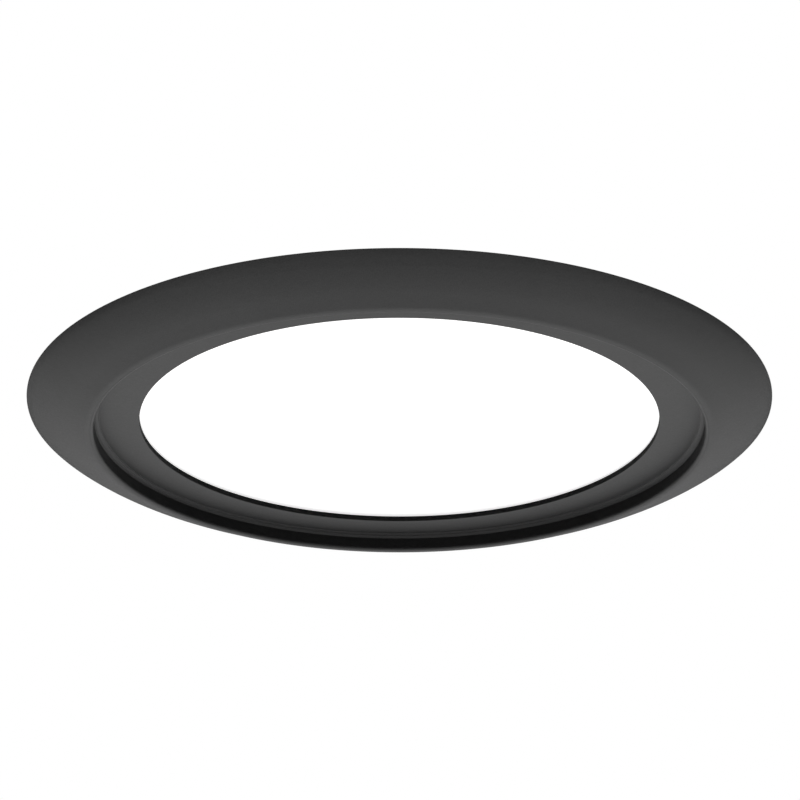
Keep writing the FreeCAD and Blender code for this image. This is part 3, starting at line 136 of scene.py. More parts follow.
def blasted_casting():
    # Die-cast aluminium, shot-blasted after casting: dull silver with small even pits and faint
    # clouds where the metal flowed.
    material, tree, place = finish_tree("blasted_die_cast_aluminium")
    pits = add(
        tree,
        "ShaderNodeTexNoise",
        {"Vector": place, "Scale": per(0.4), "Detail": 4.0, "Roughness": 0.65},
    )
    flow = add(tree, "ShaderNodeTexNoise", {"Vector": place, "Scale": per(18), "Detail": 2.0})
    bump = add(tree, "ShaderNodeBump", {"Strength": 0.6, "Distance": 0.06 * MM, "Height": pits})
    cloud = add(tree, "ShaderNodeMapRange", {"Value": flow, "From Min": 0.3, "From Max": 0.7})
    tone = add(
        tree,
        "ShaderNodeMix",
        {0: cloud, 6: colour("A9ABAC"), 7: colour("BDBFBF")},
        data_type="RGBA",
    )
    dull = add(
        tree,
        "ShaderNodeMapRange",
        {"Value": pits, "From Min": 0.3, "From Max": 0.7, "To Min": 0.48, "To Max": 0.64},
    )
    metal = add(
        tree,
        "ShaderNodeBsdfPrincipled",
        {"Base Color": tone, "Metallic": 1.0, "Roughness": dull, "Normal": bump},
    )
    add(tree, "ShaderNodeOutputMaterial", {"Surface": metal})
    return material


def mill_sheet():
    # Rolled aluminium sheet as it leaves the mill, then pressed: pale silver with long fine rolling
    # lines one way, and the soft smudges of handling.
    material, tree, place = finish_tree("mill_finish_aluminium_sheet")
    along = add(tree, "ShaderNodeMapping", {"Vector": place, "Scale": (0.03, 1.0, 1.0)})
    lines = add(
        tree,
        "ShaderNodeTexNoise",
        {"Vector": along, "Scale": per(0.5), "Detail": 4.0, "Roughness": 0.6},
    )
    hands = add(tree, "ShaderNodeTexNoise", {"Vector": place, "Scale": per(22), "Detail": 3.0})
    smudge = add(tree, "ShaderNodeMapRange", {"Value": hands, "From Min": 0.45, "From Max": 0.75})
    tone = add(
        tree,
        "ShaderNodeMix",
        {0: smudge, 6: colour("C9CBCD"), 7: colour("B4B6B8")},
        data_type="RGBA",
    )
    rolled = add(
        tree,
        "ShaderNodeMapRange",
        {"Value": lines, "From Min": 0.3, "From Max": 0.7, "To Min": 0.26, "To Max": 0.4},
    )
    worn = add(tree, "ShaderNodeMath", {0: smudge, 1: 0.12, 2: rolled}, operation="MULTIPLY_ADD")
    bump = add(tree, "ShaderNodeBump", {"Strength": 0.25, "Distance": 0.02 * MM, "Height": lines})
    metal = add(
        tree,
        "ShaderNodeBsdfPrincipled",
        {"Base Color": tone, "Metallic": 1.0, "Roughness": worn, "Normal": bump},
    )
    add(tree, "ShaderNodeOutputMaterial", {"Surface": metal})
    return material


def zinc_plate():
    # Bright zinc plate on pressed and headed steel: bluish silver, with a faint straw cast in
    # places from its passivation, and the grain of the strip under it.
    material, tree, place = finish_tree("bright_zinc_plated_steel")
    along = add(tree, "ShaderNodeMapping", {"Vector": place, "Scale": (1.0, 0.12, 1.0)})
    lines = add(
        tree,
        "ShaderNodeTexNoise",
        {"Vector": along, "Scale": per(0.35), "Detail": 3.0, "Roughness": 0.6},
    )
    bath = add(tree, "ShaderNodeTexNoise", {"Vector": place, "Scale": per(6), "Detail": 2.0})
    straw = add(tree, "ShaderNodeMapRange", {"Value": bath, "From Min": 0.35, "From Max": 0.85})
    tone = add(
        tree,
        "ShaderNodeMix",
        {0: straw, 6: colour("B3B9C0"), 7: colour("BFBBAD")},
        data_type="RGBA",
    )
    bright = add(
        tree,
        "ShaderNodeMapRange",
        {"Value": lines, "From Min": 0.3, "From Max": 0.7, "To Min": 0.26, "To Max": 0.36},
    )
    bump = add(tree, "ShaderNodeBump", {"Strength": 0.12, "Distance": 0.02 * MM, "Height": lines})
    metal = add(
        tree,
        "ShaderNodeBsdfPrincipled",
        {"Base Color": tone, "Metallic": 1.0, "Roughness": bright, "Normal": bump},
    )
    add(tree, "ShaderNodeOutputMaterial", {"Surface": metal})
    return material


def nickel_plate():
    # Sintered magnets, barrel-plated with nickel: bright warm silver with the soft dents of the
    # barrel.
    material, tree, place = finish_tree("barrel_plated_nickel")
    dents = add(tree, "ShaderNodeTexNoise", {"Vector": place, "Scale": per(1.2), "Detail": 2.0})
    tone = add(
        tree,
        "ShaderNodeMix",
        {0: dents, 6: colour("B9B4AA"), 7: colour("CBC7BE")},
        data_type="RGBA",
    )
    bright = add(
        tree,
        "ShaderNodeMapRange",
        {"Value": dents, "From Min": 0.3, "From Max": 0.7, "To Min": 0.12, "To Max": 0.24},
    )
    bump = add(tree, "ShaderNodeBump", {"Strength": 0.2, "Distance": 0.03 * MM, "Height": dents})
    metal = add(
        tree,
        "ShaderNodeBsdfPrincipled",
        {"Base Color": tone, "Metallic": 1.0, "Roughness": bright, "Normal": bump},
    )
    add(tree, "ShaderNodeOutputMaterial", {"Surface": metal})
    return material


def spring_wire():
    # Stainless spring wire, drawn through a die: darker than plate, with fine streaks of drawing
    # soap left on it by the coiling.
    material, tree, place = finish_tree("drawn_stainless_spring_wire")
    streaks = add(
        tree,
        "ShaderNodeTexNoise",
        {"Vector": place, "Scale": per(0.6), "Detail": 4.0, "Roughness": 0.7},
    )
    film = add(tree, "ShaderNodeMapRange", {"Value": streaks, "From Min": 0.35, "From Max": 0.7})
    tone = add(
        tree,
        "ShaderNodeMix",
        {0: film, 6: colour("A4A5A5"), 7: colour("7F8081")},
        data_type="RGBA",
    )
    soap = add(
        tree,
        "ShaderNodeMapRange",
        {"Value": film, "To Min": 0.2, "To Max": 0.42},
    )
    metal = add(
        tree,
        "ShaderNodeBsdfPrincipled",
        {"Base Color": tone, "Metallic": 1.0, "Roughness": soap},
    )
    add(tree, "ShaderNodeOutputMaterial", {"Surface": metal})
    return material


# ---------------------------------------------------------------- finishes of plastic and rubber


def moulded(name, light, dark, grain_mm, depth_mm, smoothest, roughest):
    """Moulded plastic or rubber: the tool's even grain over a very faint change of tone."""
    material, tree, place = finish_tree(name)
    pits = add(
        tree,
        "ShaderNodeTexNoise",
        {"Vector": place, "Scale": per(grain_mm), "Detail": 3.0, "Roughness": 0.55},
    )
    flow = add(tree, "ShaderNodeTexNoise", {"Vector": place, "Scale": per(20), "Detail": 1.0})
    even = add(tree, "ShaderNodeMapRange", {"Value": flow, "From Min": 0.3, "From Max": 0.7})
    tone = add(
        tree, "ShaderNodeMix", {0: even, 6: colour(dark), 7: colour(light)}, data_type="RGBA"
    )
    rough = add(
        tree,
        "ShaderNodeMapRange",
        {
            "Value": pits,
            "From Min": 0.3,
            "From Max": 0.7,
            "To Min": smoothest,
            "To Max": roughest,
        },
    )
    bump = add(
        tree, "ShaderNodeBump", {"Strength": 0.5, "Distance": depth_mm * MM, "Height": pits}
    )
    skin = add(
        tree,
        "ShaderNodeBsdfPrincipled",
        {"Base Color": tone, "Roughness": rough, "IOR": 1.5, "Normal": bump},
    )
    add(tree, "ShaderNodeOutputMaterial", {"Surface": skin})
    return material


def opal_acrylic():
    # Opal acrylic, moulded in a satin tool and lit from its edge through the guide behind it: the
    # face glows an even white, with a soft sheen from the satin.
    material, tree, place = finish_tree("satin_opal_acrylic")
    satin = add(tree, "ShaderNodeTexNoise", {"Vector": place, "Scale": per(0.3), "Detail": 2.0})
    rough = add(
        tree,
        "ShaderNodeMapRange",
        {"Value": satin, "From Min": 0.3, "From Max": 0.7, "To Min": 0.3, "To Max": 0.42},
    )
    bump = add(tree, "ShaderNodeBump", {"Strength": 0.2, "Distance": 0.02 * MM, "Height": satin})
    skin = add(
        tree,
        "ShaderNodeBsdfPrincipled",
        {
            "Base Color": colour("F1F1EE"),
            "Roughness": rough,
            "IOR": 1.49,
            "Normal": bump,
            "Emission Color": colour("FFFFFF"),
            "Emission Strength": 0.8,
        },
    )
    add(tree, "ShaderNodeOutputMaterial", {"Surface": skin})
    return material


def dotted_acrylic():
    # Clear cast acrylic with polished edges. White dots printed on its back every 1.6 mm lead the
    # light out of it.
    material, tree, place = finish_tree("clear_acrylic_with_printed_dots")
    grid = add(
        tree,
        "ShaderNodeTexVoronoi",
        {"Vector": place, "Scale": per(1.6), "Randomness": 0.0},
        voronoi_dimensions="2D",
    )
    dot = add(tree, "ShaderNodeMath", {0: grid.outputs["Distance"], 1: 0.28}, operation="LESS_THAN")
    tone = add(
        tree,
        "ShaderNodeMix",
        {0: dot, 6: colour("EDF3F1"), 7: colour("FFFFFF")},
        data_type="RGBA",
    )
    rough = add(tree, "ShaderNodeMapRange", {"Value": dot, "To Min": 0.03, "To Max": 0.6})
    clear = add(tree, "ShaderNodeMapRange", {"Value": dot, "To Min": 1.0, "To Max": 0.1})
    skin = add(
        tree,
        "ShaderNodeBsdfPrincipled",
        {"Base Color": tone, "Roughness": rough, "IOR": 1.49, "Transmission Weight": clear},
    )
    add(tree, "ShaderNodeOutputMaterial", {"Surface": skin})
    return material


def cell_foam():
    # Closed-cell rubber foam, punched from sheet: dead black, with the cut cells showing as small
    # pits about 0.3 mm wide, drawn at 0.7 mm so that they show. The pits are painted darker inside,
    # as painted shade.
    material, tree, place = finish_tree("closed_cell_rubber_foam")
    cells = add(tree, "ShaderNodeTexVoronoi", {"Vector": place, "Scale": per(0.7)})
    # the centre of each cell, where the bump sinks into a pit, is painted near-black: painted shade
    # in the pit
    painted_pit_shade = add(tree, "ShaderNodeMapRange", {"Value": cells, "From Max": 0.3})
    patch = add(tree, "ShaderNodeTexNoise", {"Vector": place, "Scale": per(5), "Detail": 3.0})
    skin_tone = add(
        tree,
        "ShaderNodeMix",
        {0: patch, 6: colour("1D1D1E"), 7: colour("303031")},
        data_type="RGBA",
    )
    tone = add(
        tree, "ShaderNodeMix", {0: painted_pit_shade, 6: colour("0B0B0B"), 7: skin_tone}, data_type="RGBA"
    )
    bump = add(tree, "ShaderNodeBump", {"Strength": 0.8, "Distance": 0.12 * MM, "Height": cells})
    foam = add(
        tree,
        "ShaderNodeBsdfPrincipled",
        {"Base Color": tone, "Roughness": 0.92, "IOR": 1.5, "Normal": bump},
    )
    add(tree, "ShaderNodeOutputMaterial", {"Surface": foam})
    return material


def solder_mask(name, mask, edge, copper):
    """A circuit board's lacquer over etched copper: the tracks show as paler lines 0.4 mm wide."""
    material, tree, place = finish_tree(name)
    tracks = add(
        tree,
        "ShaderNodeTexBrick",
        {
            "Vector": place,
            "Scale": per(10),
            "Mortar Size": 0.02,
            "Brick Width": 0.7,
            "Row Height": 0.2,
            "Color1": colour(mask),
            "Color2": colour(edge),
            "Mortar": colour(copper),
        },
    )
    weave = add(tree, "ShaderNodeTexNoise", {"Vector": place, "Scale": per(0.5), "Detail": 2.0})
    rough = add(
        tree,
        "ShaderNodeMapRange",
        {"Value": weave, "From Min": 0.3, "From Max": 0.7, "To Min": 0.28, "To Max": 0.4},
    )
    bump = add(
        tree,
        "ShaderNodeBump",
        {"Strength": 0.4, "Distance": 0.03 * MM, "Height": tracks.outputs["Fac"]},
    )
    skin = add(
        tree,
        "ShaderNodeBsdfPrincipled",
        {
            "Base Color": tracks.outputs["Color"],
            "Roughness": rough,
            "IOR": 1.55,
            "Normal": bump,
        },
    )
    add(tree, "ShaderNodeOutputMaterial", {"Surface": skin})
    return material


FINISH = {
    "trim_coat": powder_coat(),
    "cast_frame": blasted_casting(),
    "pressed_plate": mill_sheet(),
    "zinc_steel": zinc_plate(),
    "magnet_plate": nickel_plate(),
    "spring_steel": spring_wire(),
    "opal_lens": opal_acrylic(),
    "clear_acrylic": dotted_acrylic(),
    "black_foam": cell_foam(),
    # glass-filled polycarbonate from a spark-eroded tool: dark, evenly grained, hardly any gloss
    "box_plastic": moulded("eroded_black_polycarbonate", "333436", "2B2C2E", 0.5, 0.06, 0.5, 0.66),
    # nylon from a polished tool: black with a broad wet-looking sheen
    "gland_nylon": moulded("polished_black_nylon", "232325", "1D1D1F", 0.8, 0.02, 0.32, 0.44),
    # acetal from a smooth tool: warm white and waxy
    "knob_plastic": moulded("waxy_white_acetal", "E8E6DE", "DEDCD3", 0.7, 0.01, 0.28, 0.38),
    # silicone rubber, pressed in a fine-blasted tool: mid grey and dry
    "silicone": moulded("dry_grey_silicone", "8F8E8A", "82817D", 0.6, 0.03, 0.52, 0.64),
    # polyester film with titanium white in it, calendered: flat bright white
    "white_film": moulded("calendered_white_film", "F1F1EE", "EBEBE7", 0.4, 0.01, 0.45, 0.55),
    # nylon from a smooth tool, the usual green of wire terminals
    "terminal_plastic": moulded("green_terminal_nylon", "2F7D3E", "2A7138", 0.6, 0.02, 0.36, 0.48),
    # ferrite, pressed, fired and ground: charcoal grey, dull and slightly gritty
    "ferrite": moulded("fired_ferrite", "414142", "353536", 0.35, 0.05, 0.5, 0.68),
    # heat-shrunk sleeve: dark blue and glossy, with slight ripples
    "can_sleeve": moulded("heat_shrunk_sleeve", "22264A", "1B1E3C", 2.0, 0.05, 0.2, 0.3),
    # epoxy in which parts are dipped or cast: yellow, with an orange-peel gloss
    "yellow_film": moulded("cast_yellow_epoxy", "D0A12A", "C29320", 1.5, 0.04, 0.2, 0.3),
    # green lacquer on the driver's fibreglass board, white lacquer on the flexible lamp strip
    "circuit_board": solder_mask("green_solder_mask", "1F5D38", "1B5432", "3C8350"),
    "white_strip": solder_mask("white_solder_mask", "E9E8E3", "E3E2DC", "D9CDB4"),
}


# ---------------------------------------------------------------- trees of geometry nodes


def new_tree(name, **kinds):
    """A geometry tree with a geometry in and out and the named inputs, and what it is given."""
    tree = bpy.data.node_groups.new(name, "GeometryNodeTree")
    tree.interface.new_socket("Geometry", in_out="INPUT", socket_type="NodeSocketGeometry")
    for label, kind in kinds.items():
        tree.interface.new_socket(label, in_out="INPUT", socket_type="NodeSocket" + kind)
    tree.interface.new_socket("Geometry", in_out="OUTPUT", socket_type="NodeSocketGeometry")
    return tree, add(tree, "NodeGroupInput").outputs


def finished(tree, shape, finish):
    """The end of each tree: real geometry in its finish."""
    real = add(tree, "GeometryNodeRealizeInstances", {"Geometry": shape})
    dressed = add(tree, "GeometryNodeSetMaterial", {"Geometry": real, "Material": finish})
    add(tree, "NodeGroupOutput", {"Geometry": dressed})
    return tree


def turned_outline():
    """Sweeps an outline round the Z axis, as a lathe does."""
    tree, given = new_tree("turned_outline", Path_radius="Float", Steps="Int", Finish="Material")
    line = add(tree, "GeometryNodeMeshToCurve", {"Mesh": given["Geometry"]})
    path = add(
        tree,
        "GeometryNodeCurvePrimitiveCircle",
        {"Resolution": given["Steps"], "Radius": given["Path_radius"]},
    )
    swept = add(tree, "GeometryNodeCurveToMesh", {"Curve": path, "Profile Curve": line})
    return finished(tree, swept, given["Finish"])


def ring_of_copies():
    """Repeats a piece round the Z axis, from a first turn on."""
    tree, given = new_tree("ring_of_copies", Copies="Int", First_turn="Float", Finish="Material")
    points = add(tree, "GeometryNodePoints", {"Count": given["Copies"]})
    step = add(tree, "ShaderNodeMath", {0: math.tau, 1: given["Copies"]}, operation="DIVIDE")
    turn = add(
        tree,
        "ShaderNodeMath",
        {0: add(tree, "GeometryNodeInputIndex"), 1: step, 2: given["First_turn"]},
        operation="MULTIPLY_ADD",
    )
    angle = add(tree, "ShaderNodeCombineXYZ", {"Z": turn})
    copies = add(
        tree,
        "GeometryNodeInstanceOnPoints",
        {"Points": points, "Instance": given["Geometry"], "Rotation": angle},
    )
    return finished(tree, copies, given["Finish"])


def copies_at_places():
    """Puts a piece at each of the places, turned about Z by the angle kept with the place."""
    tree, given = new_tree("copies_at_places", Piece="Object", Finish="Material")
    piece = add(tree, "GeometryNodeObjectInfo", {"Object": given["Piece"]})
    kept = add(tree, "GeometryNodeInputNamedAttribute", {"Name": "turn"}, data_type="FLOAT")
    angle = add(tree, "ShaderNodeCombineXYZ", {"Z": kept})
    copies = add(
        tree,
        "GeometryNodeInstanceOnPoints",
        {
            "Points": given["Geometry"],
            "Instance": piece.outputs["Geometry"],
            "Rotation": angle,
        },
    )
    return finished(tree, copies, given["Finish"])


def rolled_thread():
    """Adds a rounded thread to a stud: a ridge along a spiral."""
    tree, given = new_tree(
        "rolled_thread",
        Turns="Float",
        Thread_radius="Float",
        Length="Float",
        Ridge="Float",
        Finish="Material",
    )
    spiral = add(
        tree,
        "GeometryNodeCurveSpiral",
        {
            "Resolution": 24,
            "Rotations": given["Turns"],
            "Start Radius": given["Thread_radius"],
            "End Radius": given["Thread_radius"],
            "Height": given["Length"],
        },
    )
    section = add(
        tree,
        "GeometryNodeCurvePrimitiveCircle",
        {"Resolution": 6, "Radius": given["Ridge"]},
    )
    ridge = add(
        tree,
        "GeometryNodeCurveToMesh",
        {"Curve": spiral, "Profile Curve": section, "Fill Caps": True},
    )
    both = add(tree, "GeometryNodeJoinGeometry", {"Geometry": ridge})
    tree.links.new(given["Geometry"], both.inputs["Geometry"])
    return finished(tree, both, given["Finish"])


TURNED = turned_outline()
RING = ring_of_copies()
PLACES = copies_at_places()
THREAD = rolled_thread()


# ---------------------------------------------------------------- making pieces


def new_object(name, mesh):
    made = bpy.data.objects.new(name, mesh)
    bpy.context.scene.collection.objects.link(made)
    return made


def baked(piece):
    """The piece with its modifiers made real."""
    graph = bpy.context.evaluated_depsgraph_get()
    mesh = bpy.data.meshes.new_from_object(piece.evaluated_get(graph), depsgraph=graph)
    piece.modifiers.clear()
    piece.data = mesh
    return piece


def run_tree(piece, tree, **values):
    """Runs a tree on a piece, and keeps what comes out as the piece's mesh."""
    modifier = piece.modifiers.new(tree.name, "NODES")
    modifier.node_group = tree
    for item in tree.interface.items_tree:
        if item.in_out == "INPUT" and item.name in values:
            modifier[item.identifier] = values[item.name]
    return baked(piece)


def clean(piece, angle=28):
    """Merges doubles, faces outwards, and smooths all but edges sharper than the angle."""
    made = bmesh.new()
    made.from_mesh(piece.data)
    bmesh.ops.remove_doubles(made, verts=made.verts, dist=0.0005 * MM)
    bmesh.ops.dissolve_degenerate(made, edges=made.edges, dist=0.0002 * MM)
    bmesh.ops.recalc_face_normals(made, faces=made.faces)
    limit = math.radians(angle)
    for face in made.faces:
        face.smooth = True
    for edge in made.edges:
        edge.smooth = not (edge.is_manifold and edge.calc_face_angle(0) > limit)
    made.to_mesh(piece.data)
    made.free()
    return piece


def moved(piece, matrix):
    piece.data.transform(matrix)
    return piece


def joined(name, *pieces):
    """One piece of one finish out of several."""
    whole = bmesh.new()
    for piece in pieces:
        whole.from_mesh(piece.data)
    mesh = bpy.data.meshes.new(name)
    whole.to_mesh(mesh)
    whole.free()
    mesh.materials.append(pieces[0].data.materials[0])
    for piece in pieces:
        bpy.data.objects.remove(piece)
    return new_object(name, mesh)


def cut(piece, tool):
    """Takes the tool's shape out of the piece."""
    boolean = piece.modifiers.new("cut", "BOOLEAN")
    boolean.operation = "DIFFERENCE"
    boolean.solver = "EXACT"
    boolean.object = tool
    baked(piece)
    bpy.data.objects.remove(tool)
    return piece


def arc(start, end, radius, steps):
    """Points after the start up to the end of an arc. A positive radius turns left."""
    first, last = Vector(start), Vector(end)
    chord = last - first
    side = 1 if radius > 0 else -1
    rise = math.sqrt(max(radius * radius - chord.length_squared / 4, 0))
    centre = (first + last) / 2 + Vector((-chord.y, chord.x)).normalized() * rise * side
    begin = math.atan2(first.y - centre.y, first.x - centre.x)
    swing = (math.atan2(last.y - centre.y, last.x - centre.x) - begin) * side % math.tau * side
    return [
        (
            centre.x + abs(radius) * math.cos(begin + swing * i / steps),
            centre.y + abs(radius) * math.sin(begin + swing * i / steps),
        )
        for i in range(1, steps + 1)
    ]


def rounded(corners, closed=True, steps=4, hold=0.12):
    """Rounds each corner that has a third number, its radius, and holds the flats beside it."""
    points = []
    count = len(corners)
    for i, corner in enumerate(corners):
        at = Vector(corner[:2])
        if len(corner) < 3 or not closed and i in (0, count - 1):
            points.append(tuple(at))
            continue
        back = Vector(corners[i - 1][:2]) - at
        on = Vector(corners[(i + 1) % count][:2]) - at
        half = back.angle(on) / 2
        run = min(corner[2] / math.tan(half), 0.45 * back.length, 0.45 * on.length)
        radius = run * math.tan(half)
        middle = at + (back.normalized() + on.normalized()).normalized() * (radius / math.sin(half))
        first = at + back.normalized() * run - middle
        last = at + on.normalized() * run - middle
        turn = -first.angle_signed(last)
        if back.length - run > 4 * hold:
            points.append(tuple(at + back.normalized() * (run + hold)))
        for k in range(steps + 1):
            points.append(tuple(middle + Matrix.Rotation(turn * k / steps, 2) @ first))
        if on.length - run > 4 * hold:
            points.append(tuple(at + on.normalized() * (run + hold)))
    return points


def turned(name, corners, finish, steps=288, closed=True, corner_steps=4):
    """A piece turned round the Z axis from an outline of radii and heights in millimetres.
    An open outline starts and ends on the axis."""
    points = rounded(corners, closed, corner_steps)
    count = len(points)
    edges = [(i, (i + 1) % count) for i in range(count if closed else count - 1)]
    mesh = bpy.data.meshes.new(name)
    mesh.from_pydata([((r - 1) * MM, -z * MM, 0) for r, z in points], edges, [])
    piece = run_tree(new_object(name, mesh), TURNED, Path_radius=MM, Steps=steps, Finish=finish)
    return clean(piece)


def ring_of(piece, count, first_degrees=0.0):
    finish = piece.data.materials[0]
    return run_tree(
        piece, RING, Copies=count, First_turn=math.radians(first_degrees), Finish=finish
    )


def copies_of(piece, name, places):
    """Copies of a piece at places in millimetres, each with its turn in degrees."""
    mesh = bpy.data.meshes.new(name)
    mesh.from_pydata([Vector(place[:3]) * MM for place in places], [], [])
    kept = mesh.attributes.new("turn", "FLOAT", "POINT")
    kept.data.foreach_set("value", [math.radians(place[3]) for place in places])
    finish = piece.data.materials[0]
    made = run_tree(new_object(name, mesh), PLACES, Piece=piece, Finish=finish)
    bpy.data.objects.remove(piece)
    return made


def slab(name, outline, thickness, finish):
    """A flat piece on the XZ plane, of even thickness along Y, from an outline in millimetres."""
    half = thickness / 2
    count = len(outline)
    points = [Vector((x, y, z)) * MM for y in (-half, half) for x, z in outline]
    sides = [(i, (i + 1) % count, (i + 1) % count + count, i + count) for i in range(count)]
    faces = [tuple(range(count)), tuple(range(count, 2 * count))]
    mesh = bpy.data.meshes.new(name)
    mesh.from_pydata(points, [], sides + faces)
    mesh.materials.append(finish)
    return clean(new_object(name, mesh))


def softened(piece, width_mm, segments=2):
    """Breaks the piece's sharp edges."""
    bevel = piece.modifiers.new("broken_edges", "BEVEL")
    bevel.width = width_mm * MM
    bevel.segments = segments
    bevel.limit_method = "ANGLE"
    bevel.angle_limit = math.radians(28)
    bevel.miter_outer = "MITER_ARC"
    bevel.harden_normals = True
    bevel.use_clamp_overlap = False
    return baked(piece)


def dressed(node, width_mm=0.0, segments=2):
    """A copy of a CAD node, merged, smoothed and with its edges broken, in its own finish."""
    made = bmesh.new()
    made.from_mesh(frame["nodes"][node].data)
    bmesh.ops.remove_doubles(made, verts=made.verts, dist=0.0005 * MM)
    flat = math.radians(0.5)
    bmesh.ops.dissolve_limit(made, angle_limit=flat, verts=made.verts, edges=made.edges)
    mesh = bpy.data.meshes.new(node + "_dressed")
    made.to_mesh(mesh)
    made.free()
    mesh.materials.append(FINISH[SLOT_OF[node]])
    for polygon in mesh.polygons:
        polygon.material_index = 0
    piece = clean(new_object(node + "_dressed", mesh))
    return softened(piece, width_mm, segments) if width_mm else piece


def stands_for(piece, body, node):
    """The piece moves with a body and is shown in place of a CAD node."""
    piece.name = piece.data.name = node + "_looks"
    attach(piece, body)
    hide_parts(node)
    return piece


# ---------------------------------------------------------------- trim


def trim_ring():
    """The black ring, with the ribs and the magnets' bosses on its back."""
    finish = FINISH["trim_coat"]
    back = [(92.7, 0.0)] + arc((92.7, 0.0), (83.79, -5.34), -45.5, 24)
    front = [(84.1, -6.85)] + arc((84.1, -6.85), (92.9, -1.8), 47.0, 24)
    # from the back of the crest along the band to its cut edge, back over the soft lip at the foot
    # of the wall, and down the wall to the crest
    corners = back + [
        (79.2, -7.39, 0.8),
        (79.2, -3.0, 0.3),
        (76.4, -3.0, 2.0),
        (66.2, -3.47, 0.2),
        (66.2, -4.97, 0.2),
        (76.4, -4.5, 0.1),
        (76.6, -4.75, 0.15),
        (77.25, -4.95, 0.4),
        (77.7, -5.5, 0.3),
        (77.7, -8.89, 1.1),
        (79.54, -8.885, 4.0),
    ]
    corners += front + arc((92.9, -1.8), (95.0, 0.0), 16.0, 8)[:-1] + [(95.0, 0.0, 0.2)]
    shell = turned("trim_shell", corners, finish, 384, corner_steps=8)
    # the ribs and bosses end inside the wall, half way between its front and its back
    middle = [((a + c) / 2, (b + d) / 2) for (a, b), (c, d) in zip(back[::6], front[::-6])]
    rib = slab(
        "rib",
        [(78.3, -3.0), (87.8, -3.0), (88.2, -0.3)] + middle + [(78.3, -8.3)],
        1.2,
        finish,
    )
    ribs = ring_of(softened(rib, 0.15), 12)
    boss = turned(
        "boss",
        [(0, -4.3), (2.55, -4.3, 0.1), (2.55, -3.0, 0.15), (3.4, -3.0, 0.2), (3.4, -6.3), (0, -6.3)],
        finish,
        64,
        closed=False,
    )
    moved(boss, Matrix.Translation((82.8 * MM, 0, 0)))
    # each boss ends on a slope, inside the flange
    slope, slope_start, slope_height = 0.456, 79.4, -8.1
    for vertex in boss.data.vertices:
        if vertex.co.z < -6 * MM:
            vertex.co.z = (slope_height + slope * (vertex.co.x / MM - slope_start)) * MM
    return joined("trim_ring_looks", shell, ribs, ring_of(boss, 4, 15))


stands_for(trim_ring(), "trim", "trim_ring")
stands_for(dressed("trim_magnets", 0.15), "trim", "trim_magnets")


# ---------------------------------------------------------------- bezel and lens


def bezel():
    """The cast frame, with its rounded edges and the striker plates' seats."""
    finish = FINISH["cast_frame"]
    frame_ring = turned(
        "bezel_ring",
        [
            (68.6, -2.9, 0.2),
            (87.5, -2.9, 0.4),
            (87.5, -1.4, 0.4),
            (74.0, -1.4, 0.5),
            (74.0, 5.6, 0.3),
            (70.6, 5.6, 0.2),
            (70.6, -1.4, 0.2),
            (68.6, -1.4, 0.2),
        ],
        finish,
        360,
    )
    seat = turned("seat", [(0, -3.4), (3.55, -3.4), (3.55, -2.1), (0, -2.1)], finish, 48, False)
    moved(seat, Matrix.Translation((82.8 * MM, 0, 0)))
    return clean(cut(frame_ring, ring_of(seat, 4, 15)))


def lens():
    """The opal dish, with the soft edges of a moulding."""
    return turned(
        "lens",
        [
            (0, -2.9),
            (68.3, -2.9, 0.4),
            (68.3, -1.0, 0.2),
            (70.3, -1.0, 0.2),
            (70.3, 0.2, 0.2),
            (66.7, 0.2, 0.2),
            (66.7, -1.3, 0.4),
            (0, -1.3),
        ],
        FINISH["opal_lens"],
        288,
        closed=False,
    )


def gasket():
    """Foam, so its punched edges are round and its faces swell a little between them."""
    return turned(
        "gasket",
        [(75.5, -1.4, 0.3), (86.0, -1.4, 0.3), (86.0, -0.06, 0.5), (80.75, 0), (75.5, -0.06, 0.5)],
        FINISH["black_foam"],
        288,
    )


stands_for(bezel(), "fixture", "bezel")
# the photograph's cut edge round the lit face stays black, so the face lends the ring no light
lit_face = stands_for(lens(), "fixture", "diffuser_lens")
lit_face.visible_diffuse = lit_face.visible_glossy = False
stands_for(gasket(), "fixture", "soffit_gasket")
stands_for(dressed("striker_plates", 0.12), "fixture", "striker_plates")


# ---------------------------------------------------------------- rear cover and its screws


def pressed_rib(length, width, height, finish):
    """A rib pressed up out of sheet: round ends, and sides that run out softly into the sheet."""
    across, along = 12, 36
    foot, run_in = 0.8, 0.4
    sink, skirt_depth = 0.02, 0.3
    half = width / 2 + foot
    reach = length / 2 + foot
    points, faces = [], []
    for i in range(along + 1):
        for j in range(across + 1):
            # the grid's border follows the rib's own round end
            u = reach * math.sin(math.pi / 2 * (2 * i / along - 1))
            v = half * math.sin(math.pi / 2 * (2 * j / across - 1))
            past = max(abs(u) - (reach - half), 0)
            v *= math.sqrt(max(1 - (past / half) ** 2, 0))
            edge = half - math.hypot(past, v)
            share = min(max(edge / (foot + run_in), 0), 1)
            rise = height * share * share * (3 - 2 * share) - sink
            points.append((u * MM, v * MM, rise * MM))
    for i in range(along):
        for j in range(across):
            first = i * (across + 1) + j
            faces.append((first, first + across + 1, first + across + 2, first + 1))
    mesh = bpy.data.meshes.new("pressed_rib")
    mesh.from_pydata(points, [], faces)
    mesh.materials.append(finish)
    made = bmesh.new()
    made.from_mesh(mesh)
    bmesh.ops.remove_doubles(made, verts=made.verts, dist=0.002 * MM)
    rim = [edge for edge in made.edges if edge.is_boundary]
    skirt = bmesh.ops.extrude_edge_only(made, edges=rim)["geom"]
    lower = [item for item in skirt if isinstance(item, bmesh.types.BMVert)]
    for vertex in lower:
        vertex.co.z -= skirt_depth * MM
    bmesh.ops.contextual_create(made, geom=[e for e in made.edges if e.is_boundary])
    made.to_mesh(mesh)
    made.free()
    return clean(new_object("pressed_rib", mesh))


